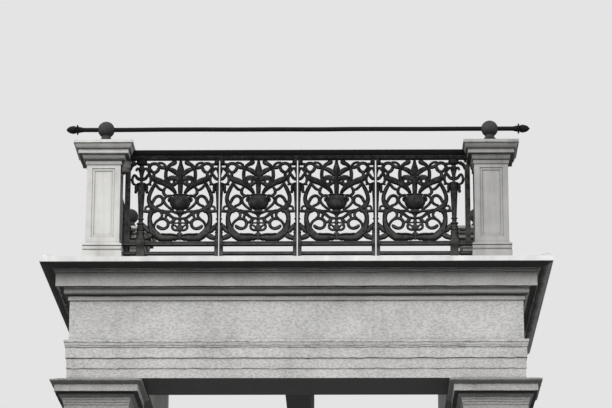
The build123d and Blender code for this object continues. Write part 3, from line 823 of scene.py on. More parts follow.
@dataclass(frozen=True)
class PaintedIron:
    """Cast iron under old oil paint: dark, gone matt, slightly rough from the sand mould.

    Painted light makes the faces that look along the casting's thin axis (0 for X, 1 for Y)
    paler, and painted shade darkens the flanks. Dust and painted light pale what faces up,
    painted shade darkens what faces down and the corners, and the paint is paler towards the
    bottom, between the two heights given.
    """

    name: str
    paint: str
    faded: str
    # The colour of dust and painted light on what faces up
    top_light_and_dust: str
    roughness: float = 0.7
    mottle: float = 45.0
    sand: float = 2.5
    sand_depth: float = 0.25
    # How much painted shade covers what faces down
    painted_shade: float = 0.8
    shine: float = 0.16
    paling_span: tuple[float, float] = (330.0, 820.0)
    paling: float = 0.0
    axis: int = 1

    def build(self) -> Material:
        """Builds the finish: its mottle, its paling at the bottom, its painted light and shade, and dust.

        Returns:
            The material.
        """
        material, tree, place, shader = start_material(self.name)
        add = partial(add_node, tree)
        mottling = {"Scale": 1000 / self.mottle, "Detail": 6.0, "Roughness": 0.65}
        mottle = add("ShaderNodeTexNoise", mottling, Vector=place)
        sand = add("ShaderNodeTexNoise", {"Scale": 1000 / self.sand, "Detail": 2.0}, Vector=place)
        height = add("ShaderNodeSeparateXYZ", Vector=place).outputs[2]
        # The paint is paler towards the bottom, between two heights
        low, high = (level * MM for level in self.paling_span)
        fading = {"From Min": low, "From Max": high, "To Min": self.paling, "To Max": 0.0}
        paling = add("ShaderNodeMapRange", fading, Value=height)
        worn = add("ShaderNodeMath", {"operation": "ADD"}, in0=mottle, in1=paling)
        paint = add("ShaderNodeValToRGB", {"stops": [(0.4, self.paint), (0.8, self.faded)]}, Fac=worn)
        normal = add("ShaderNodeNewGeometry").outputs["Normal"]
        parts = add("ShaderNodeSeparateXYZ", Vector=normal).outputs
        # Painted highlight on the faces along the thin axis, painted shade on the flanks
        facing = add("ShaderNodeMath", {"operation": "ABSOLUTE"}, in0=parts[self.axis])
        front_lit = {"From Min": 0.72, "From Max": 1.0, "To Min": 0.05, "To Max": 1.4}
        front_light = add("ShaderNodeMapRange", front_lit, Value=facing)
        multiply = {"data_type": "RGBA", "blend_type": "MULTIPLY", 0: 1.0}
        paint = add("ShaderNodeMix", multiply, in6=paint, in7=front_light).outputs[2]
        # Dust and painted light on what faces up
        upward = {"From Min": 0.25, "From Max": 0.9, "To Min": 0.0, "To Max": 0.75}
        lying = add("ShaderNodeMapRange", upward, Value=parts[2])
        top_lit = add("ShaderNodeMix", {"data_type": "RGBA", 7: linear(self.top_light_and_dust)}, in0=lying, in6=paint)
        # Painted shade on what faces down and in corners
        painted_shade = PaintedShade("060606", self.painted_shade, crevice=14.0, depth=0.85, steep=-0.45)
        colour = painted_shade.over(tree, top_lit.outputs[2])
        low, high = self.roughness - 0.1, self.roughness + 0.16
        sheen = {"From Min": 0.3, "From Max": 0.7, "To Min": low, "To Max": high}
        gloss = add("ShaderNodeMapRange", sheen, Value=mottle)
        bump = add("ShaderNodeBump", {"Strength": 0.8, "Distance": self.sand_depth * MM}, Height=sand)
        settings = {"Specular IOR Level": self.shine}
        add(shader, settings, Base_Color=colour, Roughness=gloss, Normal=bump)
        return material


@dataclass(frozen=True)
class SheetZinc:
    """Weathered sheet zinc: pale, chalky, with a soft sheen and run marks."""

    name: str = "weathered_sheet_zinc"
    pale: str = "DCDCDA"
    dull: str = "BEBFBF"
    roughness: float = 0.5
    metallic: float = 0.3
    upright: tuple[float, float, float] = (7.0, 7.0, 2.0)

    def build(self) -> Material:
        """Builds the finish: run marks in its colour, and its sheen.

        Returns:
            The material.
        """
        material, tree, place, shader = start_material(self.name)
        add = partial(add_node, tree)
        runs = add("ShaderNodeMapping", {"Scale": self.upright}, Vector=place)
        marks = add("ShaderNodeTexNoise", {"Scale": 1.0, "Detail": 5.0}, Vector=runs)
        colour = add("ShaderNodeValToRGB", {"stops": [(0.3, self.dull), (0.7, self.pale)]}, Fac=marks)
        settings = {"Metallic": self.metallic, "Roughness": self.roughness}
        add(shader, settings, Base_Color=colour)
        return material


Finish = Masonry | PaintedIron | SheetZinc

# Lime render thrown on and floated level: short level pits, no gloss
PORCH_STONE = Masonry("rough_rendered_masonry", "D6D5D3", "C4C3C1", "A2A19F")
# The same render under the porch, made dark and dull as painted shade
RIB_STONE = Masonry("shaded_ceiling_render", "5E5D5B", "454443", "2A2A29")
# Render run smooth with a template, darkened in bands as painted shade under its overhangs
CORNICE_STONE = Masonry(
    "weathered_and_shaded_cornice_render", "C4C3C1", "AFAEAC", "8F8E8C", grain=6.0, grain_depth=1.2, pits=0.35,
    # Painted light on faces towards +X lifts the painted shade there
    side_light_share=0.7, bands=((-132, 1.0), (-100, 1.0), (-97, 0.3), (-88, 0.75), (-69, 1.0), (-50, 0.85), (-43, 0.3),
                    (-40, 1.0), (20, 0.9), (71, 0.6), (74, 0.75), (104, 0.62), (108, 0.3), (132, 0.22)),
)
# The same render on the capitals: finer grained, with less painted shade on what faces down
CAPITAL_STONE = Masonry(
    "rendered_capital_stone", "C4C3C1", "AFAEAC", "888785", grain=7.0, grain_depth=1.5, pits=0.5,
    painted_shade=0.55,
)
# Cement trowelled flat and left to the rain: even and mid grey
SLAB_STONE = Masonry("cement_floor_screed", "ABAAA8", "8E8D8B", "6A6968", grain=5.0)
# Sandstone under white lime paint, worn soft: nearly white, with faint streaks
LEFT_STONE = Masonry(
    "painted_pedestal_stone", "DADAD7", "CDCCC9", "AEADAA", grain=4.0, grain_depth=0.5, streak=0.4,
    speckle=0.15, pits=0.0, painted_shade=0.85,
)
# The same stone on the right pedestals, a shade darker as painted shade
RIGHT_STONE = replace(
    LEFT_STONE, name="shaded_pedestal_stone", pale="B7B6B4", middle="A6A5A3", dark="868583"
)
# Stone black with soot; painted shade darkens what faces down, so its top looks a little paler
BALL_STONE = Masonry("sooty_ball_stone", "4C4B4A", "2C2B2B", "181818", grain=3.0, grain_depth=0.6, pits=0.2)
# Cement mortar smeared on by hand: dull and lumpy
MORTAR = Masonry("grey_patching_mortar", "858482", "6E6D6B", "4A4948", grain=5.0, grain_depth=1.5)
# Oil paint on cast iron: thick, its gloss gone, chalky where it has weathered
RAILING_PAINT = PaintedIron("painted_cast_iron", "060606", "434342", "5A5A59", paling=0.24)
# The same paint on the side railings, whose castings are thin along X
SIDE_PAINT = replace(RAILING_PAINT, name="painted_cast_iron_sides", axis=0)
# The same paint on the handrail, kept even by hands: black
HANDRAIL_PAINT = PaintedIron("black_handrail_paint", "050505", "0B0B0B", "161615", shine=0.1)
# Oil paint on rolled iron: black, with a faint sheen
ROD_PAINT = PaintedIron("painted_wrought_rod", "080808", "141414", "3A3A39", shine=0.2)


class Workshop:
    """Makes objects from surfaces and keeps one copy of each finish."""

    def __init__(self) -> None:
        """Starts with no finish made."""
        self.made: dict[str, Material] = {}

    def finish(self, finish: Finish) -> Material:
        """Returns the finish's material, made once."""
        if finish.name not in self.made:
            self.made[finish.name] = finish.build()
        return self.made[finish.name]

    def piece(self, name: str, surface: Surface, finish: Finish, slot: str, *replaced: str) -> None:
        """Makes a piece that rides on the balcony.

        Args:
            name: The piece's name.
            surface: Its skin, in millimetres.
            finish: What it is made of.
            slot: Not used.
            replaced: The solids that it stands for.
        """
        mesh = bpy.data.meshes.new(name)
        faces = surface.quads.tolist() + surface.triangles.tolist()
        mesh.from_pydata((surface.points * MM).tolist(), [], faces)
        welded = bmesh.new()
        welded.from_mesh(mesh)
        bmesh.ops.remove_doubles(welded, verts=welded.verts, dist=WELD * MM)
        welded.to_mesh(mesh)
        welded.free()
        mesh.polygons.foreach_set("use_smooth", [True] * len(mesh.polygons))
        mesh.set_sharp_from_angle(angle=math.radians(SHARP))
        mesh.materials.append(self.finish(finish))
        mesh.update()
        piece = bpy.data.objects.new(name, mesh)
        bpy.context.scene.collection.objects.link(piece)
        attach(piece, "root")
        if replaced:
            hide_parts(*replaced)
        log.info("%s: %d faces", name, len(mesh.polygons))

    def dress(self, node: str, finish: Finish) -> None:
        """Gives one of the frame's own solids its finish."""
        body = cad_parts[node]
        body.data.materials.clear()
        body.data.materials.append(self.finish(finish))
        log.info("%s dressed in %s", node, finish.name)


# Sub-assemblies
def box(node: str) -> tuple[np.ndarray, np.ndarray]:
    """Returns a frame node's lowest and highest corner, in millimetres."""
    low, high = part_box(node)
    return np.array(low) / MM, np.array(high) / MM


@dataclass(frozen=True)
class Run:
    """A straight run of the railing: its middle, its turn about Z and its panels."""

    name: str
    middle: tuple[float, float]
    turn: float
    panels: int
    half: float

    def place(self, surface: Surface) -> Surface:
        """Returns a surface that was drawn along X at the origin, put in its place."""
        return surface.turned(self.turn).moved(*self.middle)


@dataclass
class Railing:
    """The cast iron railing between the pedestals, on the front and the two sides.

    Half sections are (out, up), bottom first: the handrail's and the bead's from the rail's
    top, the roll's as shares of a lower rail's half depth and height, the sill's from the
    mid rail's top, and the block's from the floor and, higher up, from the castings' foot.
    The two lower rails are (foot, top) from the castings' foot. Past the last panel they
    start a lap inside it, and run on into the stone.
    """

    shop: Workshop
    pitch: float = 640.0
    gap: float = 10.0
    front_panels: int = 4
    side_panels: int = 3
    bar_offset: float = 111.0
    bar_width: float = 43.0
    bar_depth: float = 22.0
    bar_lap: float = 34.0
    handrail: Line = ((27, -54), (30, -50), (34, -42), (36, -30), (35, -18), (28, -7), (16, -1), (0, 0))
    bead: Line = ((19, -84), (20, -80), (24, -76), (24, -68), (28, -63), (28, -57), (26, -53))
    mid_rail: tuple[float, float] = (-47.0, -20.5)
    bottom_rail: tuple[float, float] = (-125.0, -99.0)
    rail_half_depth: float = 22.0
    roll: Line = (
        (0.80, 0), (1.0, 0.08), (1.0, 0.64), (0.84, 0.70), (0.84, 0.76), (0.95, 0.82), (0.90, 0.96),
        (0.6, 1.0),
    )
    sill: Line = ((13, 1), (13, 9))
    block_foot: Line = ((30, 0), (30, 46), (27, 50))
    block_head: Line = ((27, -56), (30, -52), (30, 0))
    half_block: float = 30.0
    lap: float = 4.0
    end_block: float = 32.0
    into_stone: float = 60.0
    links: tuple[Bar, ...] = (
        Bar(((40, 88, 6), (66, 82, 6), (92, 88, 6)), 9),
        Bar(((70, 516, 6), (80, 518, 6), (92, 516, 6)), 9),
        Bar(((40, 660, 12), (62, 652, 13), (82, 636, 11), (90, 610, 8), (84, 598, 4)), 12, Section.LEAF),
    )
    runs: list[Run] = field(init=False)
    foot: float = field(init=False)
    floor: float = field(init=False)
    rail_top: float = field(init=False)
    bar_top: float = field(init=False)
    casting: Surface = field(init=False)
    half_end: Surface = field(init=False)

    def __post_init__(self) -> None:
        """Reads the railing's place from the frame and models one casting of each kind."""
        low, high = box("front_top_rail")
        side_low, side_high = box("right_top_rail")
        across, back = (side_low[:2] + side_high[:2]) / 2
        half_side = (side_high[1] - side_low[1]) / 2
        self.foot = box("front_panel_1")[0][2]
        self.floor = box("front_lower_rails")[0][2]
        self.rail_top = high[2]
        self.bar_top = box("left_front_cap")[0][2] + self.bar_lap
        self.runs = [
            Run("front", (0.0, (low[1] + high[1]) / 2), 0.0, self.front_panels, (high[0] - low[0]) / 2),
            Run("left", (-across, back), -90.0, self.side_panels, half_side),
            Run("right", (across, back), 90.0, self.side_panels, half_side),
        ]
        left = joined([bar.surface() for bar in HALF_PANEL]).mirrored()
        left = joined([left, half_baluster(self.gap / 2).moved(-self.pitch / 2)])
        parts = [left, left.mirrored(), SPEAR.surface(), URN.surface()]
        self.casting = joined(parts).moved(up=self.foot)
        self.half_end = half_baluster(-self.gap / 2).moved(up=self.foot)

    def build(self) -> None:
        """Makes the railing's pieces."""
        for run in self.runs:
            name = run.name
            paint = RAILING_PAINT if name == "front" else SIDE_PAINT
            for part, half, finish in (
                ("handrail", self.handrail, HANDRAIL_PAINT), ("rail_bead", self.bead, paint)
            ):
                rail = moulding(shifted(half, up=self.rail_top), -run.half, run.half)
                self.iron(f"{name}_{part}", run.place(rail), finish, f"{name}_top_rail")
            spots = [(i + 0.5 - run.panels / 2) * self.pitch for i in range(run.panels)]
            castings = [run.place(self.casting.moved(spot)) for spot in spots]
            if name == "front":
                for i, casting in enumerate(castings, 1):
                    self.iron(f"front_casting_{i}", casting, paint, f"front_panel_{i}")
            else:
                self.iron(f"{name}_side_castings", joined(castings), paint, f"{name}_side_panels")
            end = run.panels * self.pitch / 2
            rails = joined(self.under_castings(spots) + self.past_castings(end, run.half + self.into_stone))
            self.iron(f"{name}_foot_rails", run.place(rails), paint, f"{name}_lower_rails")
            self.ends(run, end, paint)

    def iron(self, name: str, surface: Surface, paint: PaintedIron, replaced: str) -> None:
        """Makes a piece of the railing, which stands for one solid."""
        self.shop.piece(name, surface, paint, "railing_iron", replaced)

    def lower_rail(self, levels: tuple[float, float], start: float, end: float) -> Surface:
        """Models a lower rail: a flat bar with a roll on top and a quirk under it.

        Args:
            levels: Its foot and its top, from the castings' foot.
            start: Where it starts along the run.
            end: Where it ends.

        Returns:
            The rail's closed skin.
        """
        low, high = (self.foot + level for level in levels)
        half = [(self.rail_half_depth * out, low + (high - low) * up) for out, up in self.roll]
        return moulding(half, start, end)

    def rails_and_sill(self, start: float, rails_end: float, sill_end: float) -> list[Surface]:
        """Models both lower rails, and the flat strip on which the castings stand.

        Args:
            start: Where all three start along the run.
            rails_end: Where the rails end.
            sill_end: Where the strip ends.

        Returns:
            The three skins.
        """
        sill = shifted(self.sill, up=self.foot + self.mid_rail[1])
        rails = [self.lower_rail(levels, start, rails_end) for levels in (self.mid_rail, self.bottom_rail)]
        return rails + [moulding(sill, start, sill_end)]

    def foot_block(self, start: float, end: float) -> Surface:
        """Returns the block under a baluster, from the floor to the baluster's foot."""
        half = shifted(self.block_foot, up=self.floor) + shifted(self.block_head, up=self.foot)
        return moulding(half, start, end)

    def under_castings(self, spots: list[float]) -> list[Surface]:
        """Models what is under the castings: rails and sills between half blocks.

        Args:
            spots: Where the castings stand along the run.

        Returns:
            The skins.
        """
        parts = []
        for spot in spots:
            start, end = (spot + side * (self.pitch - self.gap) / 2 for side in (-1, 1))
            parts += self.rails_and_sill(start, end, end)
            parts += [self.foot_block(start, start + self.half_block)]
            parts += [self.foot_block(end - self.half_block, end)]
        return parts

    def past_castings(self, end: float, rails_end: float) -> list[Surface]:
        """Models what is past the last castings, on both sides of the run.

        Args:
            end: Where the last casting ends.
            rails_end: Where the rails end.

        Returns:
            The two skins.
        """
        start, stop = end - self.lap, end + self.end_block
        closing = joined(self.rails_and_sill(start, rails_end, stop) + [self.foot_block(start, stop)])
        return [closing, closing.mirrored()]

    def ends(self, run: Run, end: float, paint: PaintedIron) -> None:
        """Makes the two castings past a run's last panels: half a baluster, a bar and links.

        Args:
            run: The run.
            end: Where its last panel ends.
            paint: Its finish.
        """
        section = [(self.bar_depth / 2, self.bar_offset + side * self.bar_width / 2) for side in (-1, 1)]
        upright = moulding(section, self.foot + self.mid_rail[1], self.bar_top).upended()
        links = joined([link.surface() for link in self.links]).moved(up=self.foot)
        right = joined([self.half_end, links, upright]).moved(end)
        left = right.turned(180)
        if run.name == "front":
            self.iron("left_end_casting", run.place(left), paint, "left_end_piece")
            self.iron("right_end_casting", run.place(right), paint, "right_end_piece")
        else:
            both = run.place(joined([right, left]))
            self.iron(f"{run.name}_end_castings", both, paint, f"{run.name}_side_end_pieces")


@dataclass
class Ornaments:
    """The balls on the pedestals, and the safety rod with its finials.

    The neck's and the finial's outlines are (radius, height), bottom first. The ball's arc
    starts so many radians from its foot, where the neck meets it, and ends short of its top.
    """

    shop: Workshop
    sides: int = 48
    neck: Line = (
        (60, 0), (61, 7), (56, 12), (48, 16), (44, 24), (45, 36), (50, 41), (50, 48), (42, 54), (38, 62),
    )
    neck_rows: int = 30
    ball_radius: float = 69.0
    ball_rows: int = 28
    ball_start: float = 0.6
    ball_short: float = 0.03
    rod_radius: float = 18.5
    rod_sides: int = 28
    rod_stations: int = 90
    rod_wander: float = 1.2
    rod_wander_length: float = 700.0
    rod_seed: int = 40
    finial: Line = (
        (19, 0), (20, 4), (21, 8), (25, 30), (27, 35), (25, 37), (28, 39), (40, 41), (42, 46), (40, 51),
        (30, 53), (25, 56), (27, 60), (31, 67), (33, 76), (32, 90), (28, 106), (21, 120), (14, 129),
        (8, 132), (7, 135), (4, 137.5),
    )
    finial_rows: int = 50
    finial_sides: int = 36

    def build(self) -> None:
        """Makes the four balls, the two finials and the rod."""
        for side in ("left", "right"):
            for row in ("front", "rear"):
                self.ball(f"{side}_{row}")
            self.rod_end(side)
        self.rod()

    def ball(self, corner: str) -> None:
        """Makes a ball on its turned neck: a circle's arc above a spline through the neck.

        Args:
            corner: The pedestal that it stands on.
        """
        low, high = box(f"{corner}_ball")
        radius = self.ball_radius
        neck = spline(np.array(shifted(self.neck, up=low[2])), self.neck_rows)
        turn = np.linspace(self.ball_start, np.pi - self.ball_short, self.ball_rows)
        arc = np.stack([radius * np.sin(turn), high[2] - radius - radius * np.cos(turn)], -1)
        ball = lathe(np.vstack([neck, arc]), self.sides).moved(*(low[:2] + high[:2]) / 2)
        self.shop.piece(f"{corner}_stone_ball", ball, BALL_STONE, "ball_stone", f"{corner}_ball")

    def rod_end(self, side: str) -> None:
        """Makes a finial: a collar and an acorn, turned about the rod.

        Args:
            side: The rod's end, left or right.
        """
        low, high = box(f"{side}_rod_finial")
        start = low[0] if side == "right" else high[0]
        outline = spline(np.array(self.finial, float), self.finial_rows)
        lying = lathe(outline, self.finial_sides).upended()
        if side == "left":
            lying = lying.mirrored()
        lying = lying.moved(start, *(low[1:] + high[1:]) / 2)
        self.shop.piece(f"{side}_finial", lying, ROD_PAINT, "rod_iron", f"{side}_rod_finial")

    def rod(self) -> None:
        """Makes the safety rod: a bar rolled round by hand, which wanders a little on its way."""
        low, high = box("safety_rod")
        line = np.repeat((low + high)[None] / 2, self.rod_stations, 0)
        line[:, 0] = np.linspace(low[0], high[0], self.rod_stations)
        for axis in (1, 2):
            wander = ripple(line, self.rod_wander_length, self.rod_seed + axis)
            line[:, axis] += self.rod_wander * wander
        turn = np.linspace(0, 2 * np.pi, self.rod_sides, endpoint=False)
        ring = self.rod_radius * np.stack([np.zeros_like(turn), -np.sin(turn), np.cos(turn)], -1)
        skin = tube(line[:, None] + ring[None], line[0], line[-1])
        self.shop.piece("wrought_safety_rod", skin, ROD_PAINT, "rod_iron", "safety_rod")


def square(x: float, y: float, back: float | None = None) -> Plan:
    """Returns the plan of a square block about (x, y), cut off at a back if it has one."""
    if back is None:
        return ((x, y, -1, 1), (x, y, -1, -1), (x, y, 1, -1), (x, y, 1, 1))
    return ((x, back, -1, 0), (x, y, -1, -1), (x, y, 1, -1), (x, back, 1, 0))


@dataclass
class Porch:
    """The porch's masonry and the sheet metal on the floor's edge.

    Profiles are (reach, height), bottom first: the cornice's from its foot, the capital's
    from the neck's face and the foot, and the abacus's from its own face. A fascia is its
    reach and its own height. A stair is its start, a step out and a step up. Bands are
    (height, share of the colour): painted shade on the capital, darkest under the abacus. A
    lap is a lump in the sheet, with its inner side drawn out by its stretch.
    """

    shop: Workshop
    fascias: Line = ((9, 75.5), (14, 84.5), (22, 88))
    crown_reach: float = 37.0
    crown_bead: tuple[float, float] = (27, 12)
    crown_cap: float = 20.0
    crown_height: float = 61.0
    cornice_foot: Line = ((13, 0), (13, 33))
    bed_mould: Line = ((17, 33), (45, 63))
    corona: Line = ((45, 103), (95, 103), (95, 91), (107, 91), (107, 204))
    crown_stair: tuple[tuple[float, float], float, float] = ((115, 204), 8, 11.5)
    cyma_foot: tuple[float, float] = (139, 238.5)
    cyma_reach: float = 226.0
    cyma_fillet: float = 9.0
    abacus_half: float = 367.5
    neck_inset: float = 109.5
    neck: Line = ((14, 0), (14, 21), (7, 22), (7, 36), (0, 36), (0, 142))
    neck_stair: tuple[tuple[float, float], float, float] = ((5, 142), 5, 20)
    echinus: Line = ((25, 202), (43, 236))
    abacus: Line = ((-36, 236), (-36, 291), (0, 318), (0, 330))
    abacus_slope: float = 122.0
    # Painted shade in bands on the capital, darkest under the abacus
    capital_bands: Line = (
        (0, 0.95), (200, 0.9), (214, 0.55), (230, 0.15), (238, 0.2), (241, 1.0), (290, 1.0), (296, 0.7),
        (318, 0.8), (362, 0.9),
    )
    sheet_level: float = 41.0
    lap_reach: float = 34.0
    lap_height: float = 40.0
    lap_inset: float = 3.0
    lap_sink: float = 5.0
    lap_stretch: float = 3.4
    lap_dent: float = 2.5
    lap_dent_length: float = 50.0
    lap_seed: int = 21
    lap_rows: int = 18
    lap_sides: int = 40
    half: float = field(init=False)
    face: float = field(init=False)

    def __post_init__(self) -> None:
        """Reads the frieze's plan from the frame."""
        low, high = box("front_beam")
        self.half = high[0] - self.crown_reach
        self.face = low[1] + self.crown_reach

    def build(self) -> None:
        """Makes the moulded courses anew with worn faces, and dresses the plain solids."""
        self.beams()
        self.cornice()
        self.flashing()
        self.shop.dress("ceiling_rib", RIB_STONE)
        self.shop.dress("floor_slab", SLAB_STONE)
        for side in ("left", "right"):
            self.capital(side)

    def three_sided(self, back: float) -> Plan:
        """Returns the frieze's plan, from a back that lies across at y."""
        return (
            (-self.half, back, -1, 0), (-self.half, self.face, -1, -1),
            (self.half, self.face, 1, -1), (self.half, back, 1, 0),
        )

    def beams(self) -> None:
        """Makes the front beam and the two side beams, with their fascias and crown."""
        low, high = box("front_beam")
        profile, level = [], low[2]
        for reach, height in self.fascias:
            profile += [(reach, level), (reach, level + height)]
            level += height
        bead, bead_height = self.crown_bead
        crown_top = level + self.crown_height
        profile += [(bead, level)]
        profile += cyma((bead, level + bead_height), (self.crown_reach, crown_top - self.crown_cap), bow=1)
        profile += [(self.crown_reach, crown_top), (0, crown_top), (0, high[2])]
        half, x, y = self.half, box("right_beam")[0][0], high[1]
        plans = {
            "front": self.three_sided(y),
            "left": ((-half, 0, -1, 0), (-half, y, -1, 0), (-x, y, 0, 0), (-x, 0, 0, 0)),
            "right": ((x, 0, 0, 0), (x, y, 0, 0), (half, y, 1, 0), (half, 0, 1, 0)),
        }
        for seed, (name, plan) in enumerate(plans.items()):
            course = Course(profile, plan, name == "front", wander=2.6, grit=2.0, seed=seed).surface()
            self.shop.piece(f"{name}_rendered_beam", course, PORCH_STONE, "porch_stone", f"{name}_beam")

    def cornice(self) -> None:
        """Makes the cornice: a fillet, a bed moulding, the corona and a cyma in fillets."""
        low, high = box("cornice")
        height, reach = high[2] - low[2], self.cyma_reach
        fillet_foot = height - self.cyma_fillet
        profile = [*self.cornice_foot, *cyma(*self.bed_mould, bow=0), *self.corona, *stair(*self.crown_stair)]
        profile += cyma(self.cyma_foot, (reach - self.cyma_fillet, fillet_foot), bow=0)
        profile = shifted(profile + [(reach, fillet_foot), (reach, height)], up=low[2])
        course = Course(profile, self.three_sided(0.0), True, wander_length=420.0, seed=7).surface()
        self.shop.piece("moulded_cornice", course, CORNICE_STONE, "porch_stone", "cornice")

    def capital(self, side: str) -> None:
        """Makes a pier's capital: an astragal, a neck with fillets, an echinus and an abacus.

        Args:
            side: The pier, left or right.
        """
        low, high = box(f"{side}_pier_capital")
        foot, reach = low[2], self.abacus_half
        neck = [*self.neck, *stair(*self.neck_stair), *cyma(*self.echinus, bow=0)]
        profile = shifted(neck, reach - self.neck_inset) + shifted(self.abacus, reach)
        profile += [(reach - self.abacus_slope, high[2] - foot)]
        plan = square(*(low[:2] + high[:2]) / 2)
        wear = {"spacing": 20.0, "step": 12.0, "wander": 2.4, "grit": 1.6, "seed": 11}
        course = Course(shifted(profile, up=foot), plan, **wear).surface()
        # The capital's finish, darkened in bands as painted shade
        capital_with_shade = replace(CAPITAL_STONE, bands=shifted(self.capital_bands, foot))
        self.shop.piece(
            f"{side}_moulded_capital", course, capital_with_shade, "porch_stone", f"{side}_pier_capital"
        )

    def flashing(self) -> None:
        """Dresses the sheet on the floor's edge and adds the lumps where it laps at the corners.

        A lump is turned about an upright axis: its height falls from the middle as a
        cosine's half wave does, its skirt runs out along the sheet, and a ripple dents it.
        """
        self.shop.dress("edge_flashing", SheetZinc())
        low, high = box("edge_flashing")
        edge = box("cornice")[1][2] + self.sheet_level
        radius = np.linspace(1.0, self.lap_reach, self.lap_rows)[::-1]
        height = self.lap_height * (0.5 + 0.5 * np.cos(np.pi * radius / self.lap_reach))
        heap = lathe(np.stack([radius, height + edge - self.lap_sink], -1), self.lap_sides)
        heap.points[:, 0] *= np.where(heap.points[:, 0] > 0, self.lap_stretch, 1.0)
        dent = self.lap_dent * ripple(heap.points, self.lap_dent_length, self.lap_seed)
        heap.points[:, 2] += dent * (heap.points[:, 2] > edge)
        inset = self.lap_reach + self.lap_inset
        for side, x, lump in (("left", low[0] + inset, heap), ("right", high[0] - inset, heap.mirrored())):
            lap = lump.moved(x, low[1] + inset)
            self.shop.piece(f"{side}_flashing_lap", lap, SheetZinc(), "sheet_zinc")


